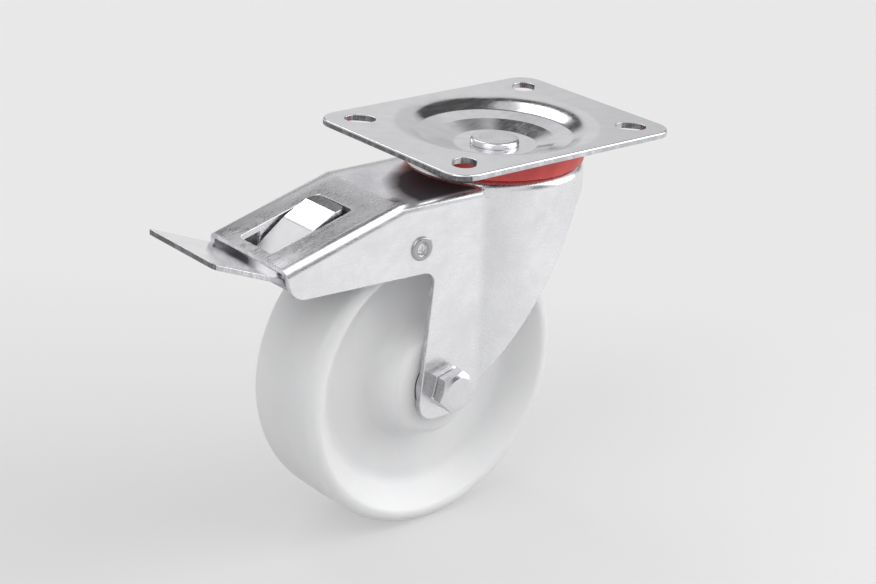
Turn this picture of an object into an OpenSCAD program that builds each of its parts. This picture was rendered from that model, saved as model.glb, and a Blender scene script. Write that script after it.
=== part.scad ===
// Swivel castor with a top plate, a pressed fork, a plain wheel and a foot brake.
// The origin is the middle of the plate's top face, on the swivel axis. Z is up, X is the
// direction of travel and the brake pedal reaches towards -X. All sizes are in millimetres.

/* [Mounting plate] */
// Length of the plate along the direction of travel
plate_l = 137; // [126:1:160]
// Width of the plate across the direction of travel
plate_w = 110; // [103:1:140]
// Sheet thickness of the plate
plate_t = 3; // [2.5:0.1:3.6]
// Corner radius of the plate in plan
plate_corner_r = 11.5; // [6:0.5:16]
// Radius rolled on the upper edge by the press
plate_edge_r = 1; // [0.4:0.1:1.6]
// Distance between slot centres along X
slot_pitch_x = 105; // [98:1:112]
// Distance between slot centres along Y
slot_pitch_y = 78; // [74:1:84]
// Width of each bolt slot
slot_w = 11; // [8.5:0.5:12]
// Distance between the centres of a slot's round ends
slot_run = 4; // [2:0.5:6]
// Turn of each slot from the X axis towards its corner
slot_turn = 47; // [30:1:60]

/* [Pressed dish] */
// Radius where the plate starts to dip
dish_r = 46.5; // [44:0.5:49]
// Radius of the crease between the steep rim and the ball track
crease_r = 37.5; // [36:0.5:40]
// Depth of the crease under the top face
crease_depth = 5; // [4:0.2:6]
// Slope of the ball track inside the crease
track_slope = 14.1; // [13:0.1:15]
// Radius of the second crease, where the ball track ends
ring_r = 29.5; // [28:0.5:30]
// Radius of the flat floor round the king pin
floor_r = 20; // [18:0.5:22]
// Depth of the floor under the top face
dish_depth = 10.4; // [9:0.2:11]
// Bend radius where the plate starts to dip
rim_bend_r = 20; // [8:1:22]
// Bend radius of the dish's creases
dish_bend_r = 4; // [2:0.5:5]

/* [Swivel bearing] */
// Diameter of an upper ball
upper_ball_d = 6; // [5:0.25:7]
// Radius of the upper ball circle
upper_track_r = 32.5; // [30:0.5:33]
// Number of upper balls
upper_ball_n = 30; // [12:1:32]
// Diameter of a lower ball
lower_ball_d = 5; // [4:0.25:6]
// Radius of the lower ball circle
lower_track_r = 16.5; // [15:0.5:18]
// Number of lower balls
lower_ball_n = 18; // [8:1:19]
// Play between a ball and each of its tracks
ball_play = 0.05; // [0.02:0.01:0.1]
// Diameter of the king pin
pin_d = 12; // [10:0.5:14]
// Diameter of the king pin's head
pin_head_d = 24; // [20:0.5:28]
// Height of the king pin's head
pin_head_h = 3.2; // [2:0.2:5]
// Thickness of the lower race under its balls
race_t = 2.5; // [2:0.1:4]
// Height of the rim that keeps the lower balls in
race_rim_h = 3.4; // [2:0.2:4.2]
// Radius of the lower race's outer corner
race_corner_r = 1; // [0.6:0.1:1.4]
// Radius on the edges of the lower race's rim
race_edge_r = 0.4; // [0.2:0.1:0.8]
// Thickness of the toothed swivel lock ring
lock_ring_t = 3.2; // [2.4:0.2:4]
// Outer diameter of the lock ring
lock_ring_d = 50; // [48:1:52]
// Number of notches in the lock ring
lock_notches = 24; // [12:12:24]
// Width of a notch
notch_w = 3.8; // [3.4:0.1:4]
// Depth of a notch
notch_depth = 5.4; // [5:0.1:6]
// Height of the king pin's riveted end
pin_foot_h = 3.4; // [2:0.2:5]
// Width of the king pin's riveted end beyond the pin
pin_foot_lap = 4; // [3:0.2:5]
// Taper of the king pin's riveted end
pin_foot_taper = 1.5; // [1:0.1:2]
// Distance of the dust seal's lower lip inside the crown's radius
seal_in = 0.3; // [0.2:0.1:1]
// Flare of the dust seal from its lip to the plate
seal_flare = 1.6; // [1:0.1:1.8]
// Gap between the dust seal and the upper balls
seal_ball_gap = 2.9; // [2:0.1:4]
// Radius of the dust seal's lower edges
seal_edge_r = 0.6; // [0.3:0.1:0.9]
// Radius of the dust seal's bulge
seal_bulge_r = 3; // [2:0.5:5]
// Running gap of the dust seal
seal_gap = 0.3; // [0.2:0.05:0.5]

/* [Fork] */
// Sheet thickness of the fork
fork_t = 3; // [2.5:0.1:3.5]
// Outer radius of the round crown
crown_r = 43.7; // [42:0.1:46]
// Outer bend radius along the crown and along the housing's level length
bend_r = 5; // [4:0.25:6]
// Height of the crown's skirt at the back
skirt_h = 14.5; // [10:0.5:18]
// Hole in the crown round the king pin
crown_bore_d = 20; // [16:0.5:24]
// Radius of the hollow between the round crown and the flat cheeks
crown_blend_r = 8; // [5:0.5:12]
// Radius of the hollow between the skirt and the back of a leg
leg_blend_r = 14; // [8:1:20]
// Distance behind the axle where a leg's back edge would meet the sole line
leg_back = 11; // [9:0.5:14]
// Distance in front of the axle of a leg's front edge, level with the sole line
leg_front = 16.2; // [14:0.2:20]
// Distance from the axle down to the leg's sole line
leg_sole = 16; // [14:0.5:20]
// Lean of a leg's back edge from the vertical
leg_lean = 31.7; // [29:0.1:33]
// Lean of a leg's front edge from the vertical
leg_front_lean = 5.2; // [2:0.1:8]
// Radius of the leg's lower corners
leg_corner_r = 9.5; // [6:0.5:10]

/* [Brake housing] */
// Drop from the crown's top to the top of the housing
web_drop = 2.7; // [2:0.1:3.5]
// Distance of the crease in the housing's top from the swivel axis
crease_x = 81; // [76:0.5:86]
// Slope of the housing's top in front of the crease
web_slope = 15.5; // [13:0.5:17]
// Outer bend radius along the slope, beyond that of the level length
slope_bend_more = 0.5; // [0.3:0.1:0.8]
// Length of the sloped top
web_run = 66.4; // [64:0.4:70]
// Depth of the housing's lower edge under its top edge, at the front
rim_front = 15.9; // [14:0.1:19]
// Fall of the lower edge from the front to the leg
rim_fall = 2.8; // [0:0.2:4]
// Radius of the housing's lower front corner
rim_corner_r = 10; // [6:0.5:12]
// Radius of the hollow between the lower edge and the leg
rim_blend_r = 6; // [3:0.5:8]
// Width of the pedal window
window_w = 26; // [25:0.5:30]
// Strip of sheet left in front of the window
window_strip = 5.2; // [4:0.2:7]
// Length of the window along the slope
window_l = 46; // [44:0.5:48]
// Corner radius of the window
window_corner_r = 2; // [1:0.25:4]

/* [Brake pedal] */
// Reach of the foot plate beyond the housing's front
pedal_out = 35; // [30:0.5:45]
// Gap between the pedal and each of the fork's cheeks
pedal_gap = 1; // [0.6:0.1:4]
// Sheet thickness of the pedal
pedal_t = 2.5; // [2:0.1:3]
// Distance of the pedal's lowest bend behind the housing's front
pedal_bend_in = 8.5; // [7:0.5:10]
// Depth of the pedal's lowest bend under the housing's top edge, at the front
pedal_bend_drop = 8; // [7:0.1:9]
// Slope of the foot plate
pedal_slope = 21.8; // [18:0.2:26]
// Slope of the tongue that rises through the window
tongue_slope = 36.8; // [34:0.2:38]
// Slope of the tongue's upper length
crest_slope = 27; // [24:0.5:30]
// Length of the tongue's upper length along X
crest_l = 12; // [8:0.5:14]
// Length of the release tab along X
tab_l = 5.6; // [3:0.1:8]
// Slope of the release tab
tab_slope = 13; // [8:1:18]
// Gap between the release tab and the back of the window
tab_gap = 2.75; // [1.5:0.05:4]
// Gap between the tongue and each side of the window
tongue_gap = 1.5; // [1:0.1:3]
// Inner bend radius of the pedal
pedal_bend_r = 2; // [1:0.25:4]
// Inner bend radius where the tongue's upper length starts
crest_bend_r = 20; // [10:1:30]
// Radius of the foot plate's corners at the tip
pedal_tip_r = 3; // [2:0.25:5]
// Radius of the corners where the foot plate narrows to the tongue
pedal_corner_r = 2; // [1:0.25:3]
// Radius of the release tab's corners
tab_corner_r = 4; // [2:0.25:5]
// Distance of the pedal's pivot behind its lowest bend
pedal_pivot_in = 14.5; // [13.5:0.1:15.5]
// Depth of the pedal's pivot under the housing's top edge, at the front
pedal_pivot_drop = 6.1; // [5.6:0.1:7]
// Diameter of the pedal's pivot pin
pedal_pin_d = 6; // [5:0.25:7]
// Height of the pedal pin's flat heads
pedal_pin_head_h = 1; // [0.8:0.1:1.5]
// Width of the pedal pin's heads beyond the pin
pedal_pin_head_lap = 1.2; // [0.8:0.1:1.5]
// Metal left round the pivot pin
pivot_wall = 3.4; // [2.6:0.2:4]
// How much smaller the pedal's ears are than the housing's lugs
ear_inset = 0.6; // [0.2:0.1:1]
// Sheet thickness of the pedal's ears and of the housing's lugs
lug_t = 2.4; // [2:0.1:3]
// Turn of the pedal from released to locked
pedal_turn = 16; // [12:0.5:16]
// Gap between the released pedal and the arm under it
cam_gap = 0.2; // [0.1:0.05:0.6]

/* [Brake arm] */
// Distance of the arm's pivot rivets in front of the axle
arm_pivot_ahead = 18.4; // [16:0.2:20]
// Depth of the arm's pivot rivets under the arm's top, over the wheel
arm_pivot_drop = 7.9; // [7:0.1:9]
// Sheet thickness of the arm
arm_t = 2; // [1.6:0.1:2.4]
// Turn of the arm for each degree that the pedal turns
arm_ratio = 0.2375; // [0.2:0.0025:0.24]
// Room between the arm and the top of the wheel
arm_room = 4.8; // [4.4:0.1:6]
// Drop of the arm from over the wheel to over the brake shoe
arm_drop = 7.8; // [6:0.2:9]
// Reach of the arm beyond the pedal's lowest bend
arm_lead = 2.5; // [1:0.5:3.5]
// Distance of the arm's step in front of the axle
arm_step_ahead = 34; // [33:0.2:35]
// Height of the arm's side walls at its front
arm_wall_h = 5; // [4:0.2:6]
// Radius of the corners at the front and at the eyes of the arm's side walls
arm_corner_r = 3; // [2:0.25:4]
// Radius of the arm's lower edge where it leaves the front
arm_sweep_r = 8; // [4:1:10]
// Width of the neck that carries the lock tooth
neck_w = 12; // [10:0.5:14]
// Distance that the arm's wide part stays inside the crown's radius
neck_back = 10; // [9:0.5:11]
// Radius of the arm's shoulders
arm_shoulder_r = 6; // [4:0.5:8]
// Radius of the hollow between a shoulder and the neck
neck_blend_r = 4; // [2:0.5:6]
// Gap between the arm's opening and the lugs, before and behind them
opening_gap_x = 2.5; // [2:0.1:3]
// Gap between the arm's opening and the lugs, beside them
opening_gap_y = 3; // [2:0.25:4]
// Radius of the opening's corners
opening_corner_r = 3; // [2:0.5:4]
// Gap between the arm and the fork's cheeks
arm_gap = 0.7; // [0.4:0.05:0.8]
// Height of the lock tooth above the arm
tooth_h = 3.55; // [3.2:0.05:4.2]
// Gap between the tooth and each side of a notch
tooth_side_gap = 0.5; // [0.4:0.05:0.7]
// Gap between the tooth and the released lock ring
tooth_gap = 0.4; // [0.3:0.05:0.8]
// Length of the brake shoe along the arm
shoe_l = 12; // [10:0.5:14]
// Width of the brake shoe
shoe_w = 40; // [30:1:44]
// Gap between the locked brake shoe and the tread
shoe_gap = 0.3; // [0.25:0.05:0.5]
// Radius of the brake shoe's upright edges
shoe_corner_r = 2; // [1:0.25:3]
// Diameter of a shoe rivet
shoe_rivet_d = 4; // [3:0.5:5]
// Depth of a shoe rivet in the shoe
shoe_rivet_h = 3; // [2:0.2:3.4]
// Height of a shoe rivet's head
shoe_rivet_head_h = 1.6; // [1.2:0.1:2]
// Diameter of the pivot rivets
rivet_d = 8; // [7:0.25:9]
// Diameter of the cup in a pivot rivet's head
rivet_cup_d = 5.4; // [4:0.2:6]
// Depth of the cup in a pivot rivet's head
rivet_cup_h = 2.6; // [1.6:0.2:3.4]
// Diameter of the rolled head of a pivot rivet
rivet_head_d = 12; // [11:0.25:13]
// Height of the rolled head of a pivot rivet
rivet_head_h = 1.3; // [1:0.1:2]
// Roll radius of a pivot rivet's head, as a share of its height
rivet_roll = 0.7; // [0.5:0.05:0.75]
// Height of a pivot rivet's inner lip
rivet_lip_h = 0.5; // [0.4:0.1:1]
// Width of a pivot rivet's inner lip beyond the rivet
rivet_lip_lap = 1; // [0.6:0.1:1.5]

/* [Wheel and axle] */
// Overall height from the floor to the top of the plate
total_h = 190; // [188:0.5:194]
// Distance of the axle from the swivel axis
trail = 50; // [49:0.5:52]
// How far the hub stands out beyond the tread at each side
hub_proud = 2.5; // [2:0.25:4.5]
// Radius of the tread's edges
tread_edge_r = 5.5; // [3:0.5:8]
// Flat land between the tread's edge and the rim's inner wall
rim_land = 1.6; // [1.4:0.2:4]
// Diameter where the rim's inner wall meets the web
rim_root_d = 112; // [106:0.5:118]
// Radius of the edge between the tread's side and the rim's inner wall
rim_edge_r = 3; // [1:0.1:3]
// Radius of the hollow between the rim's inner wall and the web
rim_hollow_r = 9; // [4:0.5:10]
// Thickness of the wheel's web
wheel_web_t = 22; // [16:0.5:26]
// Diameter of the hub at its face
hub_d = 52; // [46:0.5:58]
// Length of the hub
hub_w = 53; // [52:0.25:55]
// Draft of the hub's wall from face to web
hub_draft = 3; // [1:0.5:5]
// Radius of the hub's outer edge
hub_edge_r = 4; // [1:0.1:4.5]
// Radius of the hollow between the hub and the web
hub_hollow_r = 8; // [3:0.5:9]
// Radius at the mouth of the hub's bore
hub_mouth_r = 0.8; // [0.4:0.1:1]
// Diameter of a bearing roller
roller_d = 5; // [4:0.25:6]
// Number of bearing rollers
roller_n = 10; // [6:1:11]
// Distance of the rollers' ends inside the hub's faces
roller_in = 4.5; // [3:0.25:8]
// Wall of the roller cage
cage_wall = 1.8; // [1.4:0.1:2.2]
// Length of the cage beyond the rollers at each end
cage_end = 2; // [1.5:0.1:2.4]
// Outer diameter of the axle tube
tube_d = 20; // [18:0.5:22]
// Play of the rollers and of the other turning fits
running_play = 0.05; // [0.02:0.01:0.1]
// Diameter of the axle bolt
bolt_d = 12; // [10:0.5:12]
// Width across flats of the bolt head, the collar and the nut
bolt_af = 19; // [17:0.5:20]
// Chamfer on the corners of the hexagons
hex_chamfer = 1.3; // [0.8:0.1:1.8]
// Turn of the hexagons about the axle
hex_turn = 15; // [0:1:30]
// Height of the bolt head
bolt_head_h = 7.5; // [6:0.25:9]
// Height of the thin hexagon collar under the head
collar_h = 3.5; // [2.5:0.25:5]
// Height of the lock nut
nut_h = 10; // [8:0.5:12]
// Bolt thread that stands out of the nut
bolt_end = 2.5; // [1:0.5:5]
// Thickness of the washers beside the hub
washer_t = 1; // [0.8:0.1:1.2]
// Diameter of the washers beside the hub
washer_d = 30; // [27:1:36]

/* [Hidden] */
$fn = 96;
ball_fn = 32;

zinc = [0.78, 0.79, 0.81];
dark_steel = [0.45, 0.46, 0.48];
bright_steel = [0.86, 0.87, 0.88];
seal_red = [0.80, 0.29, 0.28];
milky_white = [0.93, 0.94, 0.94];
cage_grey = [0.35, 0.37, 0.40];

// Room that a cutting body reaches past the surface it cuts
past = 1;
// Gap between pieces of one body that are pushed together by hand
fit = 0.03;
// Share of an eye's radius that its round end takes up
nearly_round = 0.98;
// Share by which a corner's circle is drawn wide, so that it crosses the sides
bite = 0.0004;

// Heights of the swivel bearing, from the plate down
function track_z(r) = -crease_depth - tan(track_slope) * (crease_r - r);
rim_slope = atan(crease_depth / (dish_r - crease_r));
rim_reach = rim_bend_r * tan(rim_slope / 2);
track_top = track_z(upper_track_r);
upper_ball_z = track_top - plate_t - (upper_ball_d / 2 + ball_play) / cos(track_slope);
crown_top = upper_ball_z - upper_ball_d / 2 - ball_play;
lower_ball_z = crown_top - fork_t - lower_ball_d / 2 - ball_play;
race_top = lower_ball_z - lower_ball_d / 2 - ball_play;
ring_top = race_top - race_t;
ring_foot = ring_top - lock_ring_t;
race_r = lower_track_r + lower_ball_d / 2 + race_t;
seal_lip_r = crown_r - seal_in;
seal_top_r = seal_lip_r + seal_flare;
seal_bore_r = upper_track_r + upper_ball_d / 2 + seal_ball_gap;

// The arm passes under the lock ring and over the wheel, which takes up the rest of the height
tooth_top = ring_foot - tooth_gap;
arm_back_z = tooth_top - tooth_h;
wheel_top = arm_back_z - arm_t - arm_room;
wheel_d = total_h + wheel_top;

// Axle, cheeks and wheel
axle_x = -trail;
wheel_r = wheel_d / 2;
wheel_w = hub_w - 2 * hub_proud;
axle_z = wheel_top - wheel_r;
cheek_in = hub_w / 2 + washer_t;
cheek_out = cheek_in + fork_t;

// Housing: the top is level behind the crease and slopes down in front of it
web_top = crown_top - web_drop;
front_x = -crease_x - web_run * cos(web_slope);
front_top = web_top - web_run * sin(web_slope);
skirt_z = crown_top - skirt_h;
sole_z = axle_z - leg_sole;
leg_back_x = axle_x + leg_back;
leg_front_x = axle_x - leg_front;
rim_front_z = front_top - rim_front;
rim_leg_z = rim_front_z - rim_fall;
rim_leg_x = leg_front_x + (rim_leg_z - sole_z) * tan(leg_front_lean);
rim_front_x = front_x + rim_front * tan(web_slope);
skirt_leg_x = leg_back_x + (skirt_z - sole_z) * tan(leg_lean);

// Pedal: a foot plate in front of the lowest bend, a tongue up through the window and a release tab
pedal_w = 2 * (cheek_in - pedal_gap);
tongue_w = window_w - 2 * tongue_gap;
lug_y = window_w / 2;
ear_y = tongue_w / 2 - lug_t;
window_back_x = front_x + (window_strip + window_l) * cos(web_slope);
pedal_tip_x = front_x - pedal_out;
pedal_low = [front_x + pedal_bend_in, front_top - pedal_bend_drop];
tab_end_x = window_back_x - tab_gap;
tongue_crest = pedal_low + (tab_end_x - tab_l - crest_l - pedal_low[0]) * [1, tan(tongue_slope)];
tongue_high = tongue_crest + crest_l * [1, tan(crest_slope)];
pedal_line = [
    pedal_low + (pedal_low[0] - pedal_tip_x) * [-1, tan(pedal_slope)],
    pedal_low,
    tongue_crest,
    tongue_high,
    tongue_high + tab_l * [1, tan(tab_slope)]
];
pedal_bends = [0, pedal_bend_r, crest_bend_r, pedal_bend_r, 0];
pedal_pivot = [pedal_low[0] + pedal_pivot_in, 0, front_top - pedal_pivot_drop];

// Arm: from under the pedal, down over the brake shoe and up over the wheel to the lock tooth
arm_y = cheek_in - arm_gap;
arm_turn = arm_ratio * pedal_turn;
arm_pivot = [axle_x - arm_pivot_ahead, 0, arm_back_z - arm_pivot_drop];
pedal_bend_t = pedal_t / cos((pedal_slope + tongue_slope) / 2);
arm_front = [pedal_low[0] - arm_lead, pedal_low[1] - pedal_bend_t - cam_gap];
arm_shoe_z = arm_back_z - arm_drop;
arm_step_x = axle_x - arm_step_ahead;
arm_crest_x = arm_step_x + arm_drop;
opening_room = pedal_pin_d / 2 + pivot_wall + opening_gap_x;
arm_low_x = pedal_pivot[0] + opening_room + 2 * arm_t;
arm_level_x = arm_low_x + arm_shoe_z - arm_front[1];
tooth_x = notch_depth / 2 - lock_ring_d / 2;
tooth_t = arm_t;
tooth_w = notch_w - 2 * tooth_side_gap;
neck_x = neck_back - crown_r;
arm_line = [
    arm_front,
    [arm_low_x, arm_front[1]],
    [arm_level_x, arm_shoe_z],
    [arm_step_x, arm_shoe_z],
    [arm_crest_x, arm_back_z],
    [tooth_x + tooth_t / 2, arm_back_z]
];
shoe_x = arm_step_x - shoe_l / 2 - arm_t / 2;

// Rim and bearing of the wheel
rim_d = wheel_d - 2 * (tread_edge_r + rim_land);
roller_l = hub_w - 2 * roller_in;
roller_pitch_r = tube_d / 2 + roller_d / 2 + running_play;
hub_bore_r = roller_pitch_r + roller_d / 2 + running_play;

// Plane geometry

// Direction from one point to another
function heading(a, b) = (b - a) / norm(b - a);
// The direction a quarter turn to the left
function left(u) = [-u[1], u[0]];
function flat(p) = [p[0], p[1]];

// Signed turn between two directions, positive to the left
function turn(u, v) = atan2(u[0] * v[1] - u[1] * v[0], u * v);

// Centre, first touch, corner, last touch, radius and turn of a rounded corner
function round_corner(pts, i) =
    let (n = len(pts),
         b = flat(pts[i]),
         u = heading(flat(pts[(i + n - 1) % n]), b),
         v = heading(b, flat(pts[(i + 1) % n])),
         a = turn(u, v),
         r = pts[i][2],
         reach = r * tan(abs(a) / 2),
         centre = b - u * reach + sign(a) * r * left(u))
    [centre, b - u * reach, b, b + v * reach, r, a];

// A sheet's line moved sideways by d to its right, with mitred corners
function beside(line, d) =
    [for (i = [0 : len(line) - 1])
        let (u = heading(line[max(i - 1, 0)], line[max(i, 1)]),
             v = heading(line[min(i, len(line) - 2)], line[min(i + 1, len(line) - 1)]))
        line[i] - d * (left(u) + left(v)) / (1 + u * v)];

// A rounded corner that turns right is a hollow in the outline, and one that turns left stands out
function is_hollow(c) = c[4] > 0 && c[5] < 0;
function is_bold(c) = c[4] > 0 && c[5] > 0;

// Kite between a rounded corner's centre and its two touches, drawn out past the corner
module corner_kite(c) polygon([c[0], c[1], c[2] + (c[2] - c[0]) / 4, c[3]]);

module corner_round(c) translate(c[0]) circle(r = c[4] * (1 + bite));

// Outline through points [x, y, corner radius], listed anticlockwise
module rounded_outline(pts) {
    corners = [for (i = [0 : len(pts) - 1]) round_corner(pts, i)];
    filled = [for (c = corners) each is_hollow(c) ? [c[1], c[0], c[3]] : [c[2]]];
    difference() {
        polygon(filled);
        for (c = corners) if (is_hollow(c)) corner_round(c);
        for (c = corners) if (is_bold(c)) difference() {
            corner_kite(c);
            corner_round(c);
        }
    }
}

// Section of a bent sheet whose upper face follows a line from left to right, with its inner bend radii
module bent_sheet(line, t, radii) {
    low = beside(line, t);
    last = len(line) - 1;
    bend = [for (i = [0 : last]) i == 0 || i == last ? 0
        : turn(line[i] - line[i - 1], line[i + 1] - line[i])];
    function wide(i) = bend[i] == 0 ? 0 : radii[i] + t;
    function tight(i) = bend[i] == 0 ? 0 : radii[i];
    rounded_outline(concat(
        [for (i = [0 : last]) [low[i][0], low[i][1], bend[i] > 0 ? wide(i) : tight(i)]],
        [for (i = [last : -1 : 0]) [line[i][0], line[i][1], bend[i] > 0 ? tight(i) : wide(i)]]
    ));
}

// Rectangle with four equal corners, centred
module rounded_rectangle(l, w, r) {
    rounded_outline([[-l / 2, -w / 2, r], [l / 2, -w / 2, r], [l / 2, w / 2, r], [-l / 2, w / 2, r]]);
}

// Slot between two round ends, along X
module slot_outline(w, run) {
    square([run, w], center = true);
    for (s = [-1, 1]) translate([s * run / 2, 0]) circle(d = w);
}

// Side outline in X and Z carried across the castor, w wide and centred
module across(w) {
    rotate([90, 0, 0]) linear_extrude(w, center = true) children();
}

// Turned shape about an axis along Y at x, z, with its section's height running towards +Y
module turned(x, z) {
    translate([x, 0, z]) rotate([-90, 0, 0]) rotate_extrude() children();
}

// Hexagon bar along -Y from height a to height b, with its outer corners chamfered
module hexagon(af, a, b) {
    corner = af / cos(30) / 2;
    wide = corner + past;
    intersection() {
        rotate([0, 0, hex_turn]) translate([0, 0, a]) cylinder(r = corner, h = b - a, $fn = 6);
        rotate_extrude() polygon([[0, a - past], [wide, a - past], [wide, b - (hex_chamfer + past) / 2],
            [corner - hex_chamfer - past, b + past / 2], [0, b + past / 2]]);
    }
}

// Plate and swivel bearing

// Flat slab with rounded corners and a rolled upper edge, its top at z = 0
module rolled_slab(l, w, t, corner_r, edge_r) {
    module section(width) {
        rounded_outline([[-width / 2, -t, 0], [width / 2, -t, 0], [width / 2, 0, edge_r],
            [-width / 2, 0, edge_r]]);
    }
    across(w - 2 * corner_r) section(l);
    rotate([0, 0, 90]) across(l - 2 * corner_r) section(w);
    for (sx = [-1, 1], sy = [-1, 1])
        translate([sx * (l / 2 - corner_r), sy * (w / 2 - corner_r), 0])
            rotate_extrude()
                rounded_outline([[0, -t, 0], [corner_r, -t, 0], [corner_r, 0, edge_r], [0, 0, 0]]);
}

// Half section of the pressed dish, from the king pin's hole out to the flat plate
module dish_section(outer) {
    line = [[pin_d / 2 + fit, -dish_depth, 0], [floor_r, -dish_depth, dish_bend_r],
        [ring_r, track_z(ring_r), dish_bend_r], [crease_r, -crease_depth, dish_bend_r],
        [dish_r, 0, rim_bend_r], [outer, 0, 0]];
    last = len(line) - 1;
    rounded_outline(concat(
        [for (p = line) p - [0, plate_t, 0]],
        [for (i = [last : -1 : 0]) line[i]]
    ));
}

module top_plate() color(zinc) {
    dish_edge = dish_r + rim_reach + past;
    difference() {
        union() {
            difference() {
                rolled_slab(plate_l, plate_w, plate_t, plate_corner_r, plate_edge_r);
                translate([0, 0, -plate_t - past]) cylinder(r = dish_edge, h = plate_t + 2 * past);
            }
            rotate_extrude() dish_section(dish_edge);
        }
        for (sx = [-1, 1], sy = [-1, 1])
            translate([sx * slot_pitch_x / 2, sy * slot_pitch_y / 2, -plate_t - past])
                rotate([0, 0, sx * sy * slot_turn])
                    linear_extrude(plate_t + 2 * past) slot_outline(slot_w, slot_run);
    }
}

module king_pin() color(bright_steel) {
    head_z = -dish_depth;
    foot_r = pin_d / 2 + pin_foot_lap;
    rotate_extrude() rounded_outline([
        [0, ring_foot - pin_foot_h, 0],
        [foot_r - pin_foot_taper, ring_foot - pin_foot_h, pin_foot_taper / 2],
        [foot_r, ring_foot, 0],
        [pin_d / 2, ring_foot, 0],
        [pin_d / 2, head_z, 0],
        [pin_head_d / 2, head_z, 0],
        [pin_head_d / 2, head_z + pin_head_h, pin_head_h / 2],
        [0, head_z + pin_head_h, 0]
    ]);
}

// Height of the dish's steep rim, which ends in the wide bend
function rim_z(r) = r < dish_r - rim_reach * cos(rim_slope) ? (r - dish_r) * tan(rim_slope)
    : sqrt(pow(rim_bend_r, 2) - pow(max(0, dish_r + rim_reach - r), 2)) - rim_bend_r;
// Height of the seal's upper face, under the steep rim
function under_rim(r) = rim_z(r) - plate_t - seal_gap;

module dust_seal() color(seal_red) {
    lip_z = crown_top + seal_gap;
    rotate_extrude() rounded_outline([
        [seal_bore_r, lip_z, seal_edge_r],
        [seal_lip_r, lip_z, seal_edge_r],
        [(seal_lip_r + 2 * seal_top_r) / 3, (2 * lip_z + under_rim(seal_top_r)) / 3, seal_bulge_r],
        [seal_top_r, under_rim(seal_top_r), 0],
        [seal_bore_r, under_rim(seal_bore_r), 0]
    ]);
}

module ball_ring(d, r, n, z) {
    for (i = [0 : n - 1])
        rotate([0, 0, i * 360 / n]) translate([r, 0, z]) sphere(d = d, $fn = ball_fn);
}

module upper_balls() color(bright_steel)
    ball_ring(upper_ball_d, upper_track_r, upper_ball_n, upper_ball_z);

module lower_balls() color(bright_steel)
    ball_ring(lower_ball_d, lower_track_r, lower_ball_n, lower_ball_z);

module lower_race() color(zinc) {
    bore_r = pin_d / 2 + fit;
    wall_r = lower_track_r + lower_ball_d / 2 + ball_play;
    rotate_extrude() rounded_outline([
        [bore_r, ring_top, 0],
        [race_r, ring_top, race_corner_r],
        [race_r, race_top + race_rim_h, race_edge_r],
        [wall_r, race_top + race_rim_h, race_edge_r],
        [wall_r, race_top, 0],
        [bore_r, race_top, 0]
    ]);
}

module lock_ring() color(dark_steel) {
    difference() {
        translate([0, 0, ring_foot]) cylinder(d = lock_ring_d, h = lock_ring_t);
        translate([0, 0, ring_foot - past]) cylinder(d = pin_d + 2 * fit, h = lock_ring_t + 2 * past);
        for (i = [0 : lock_notches - 1])
            rotate([0, 0, i * 360 / lock_notches])
                translate([lock_ring_d / 2 - notch_depth, -notch_w / 2, ring_foot - past])
                    cube([notch_depth + past, notch_w, lock_ring_t + 2 * past]);
    }
}

// Fork

// Round crown with its bent edge, pulled in by the inset and reaching down past the legs
module crown_form(inset) {
    r = crown_r - inset;
    foot = sole_z - past - inset;
    rotate_extrude() rounded_outline([[0, foot, 0], [r, foot, 0],
        [r, crown_top - inset, bend_r - inset], [0, crown_top - inset, 0]]);
}

// Section of the brake housing across the castor, with its top at z = 0 and its bends of radius r
module housing_section(inset, r) {
    w = cheek_out - inset;
    foot = 2 * sole_z - inset;
    rounded_outline([[-w, foot, 0], [w, foot, 0], [w, -inset, r - inset], [-w, -inset, r - inset]]);
}

// Level and sloped lengths of the housing, which meet at the crease
module housing_form(inset) {
    front = front_x - fork_t - inset;
    intersection() {
        translate([front, 0, web_top])
            rotate([90, 0, 90]) linear_extrude(-front) housing_section(inset, bend_r);
        translate([-crease_x, 0, web_top]) rotate([0, -web_slope, 0])
            translate([2 * front, 0, 0])
                rotate([90, 0, 90]) linear_extrude(-4 * front)
                    housing_section(inset, bend_r + slope_bend_more);
    }
}

// Upright hollow where a flat cheek runs into the round crown
module blend_form(inset) {
    r = crown_blend_r + inset;
    yc = cheek_out + crown_blend_r;
    centre = [-sqrt(pow(crown_r + crown_blend_r, 2) - yc * yc), yc];
    on_cheek = [centre[0], yc - r];
    on_crown = centre * (crown_r - inset) / (crown_r + crown_blend_r);
    foot = sole_z - past - inset;
    for (s = [0, 1]) mirror([0, s, 0])
        translate([0, 0, foot]) linear_extrude(web_top - bend_r - foot) difference() {
            polygon([centre, on_crown, on_crown * on_cheek[1] / on_crown[1] / 2, on_cheek]);
            translate(centre) circle(r = r * (1 + bite));
        }
}

module fork_form(inset) {
    crown_form(inset);
    housing_form(inset);
    blend_form(inset);
}

// Side view that the fork's walls are trimmed to
module fork_side() {
    high = past - crown_top;
    rounded_outline([
        [2 * crown_r, high, 0],
        [front_x - (high - front_top) * tan(web_slope), high, 0],
        [rim_front_x, rim_front_z, rim_corner_r],
        [rim_leg_x, rim_leg_z, rim_blend_r],
        [leg_front_x, sole_z, leg_corner_r],
        [leg_back_x, sole_z, leg_corner_r],
        [skirt_leg_x, skirt_z, leg_blend_r],
        [2 * crown_r, skirt_z, 0]
    ]);
}

// Height of the middle of the housing's sheet above the pedal's window
function web_middle(x) = web_top - (-x - crease_x) * tan(web_slope) - fork_t / 2 / cos(web_slope);

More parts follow.
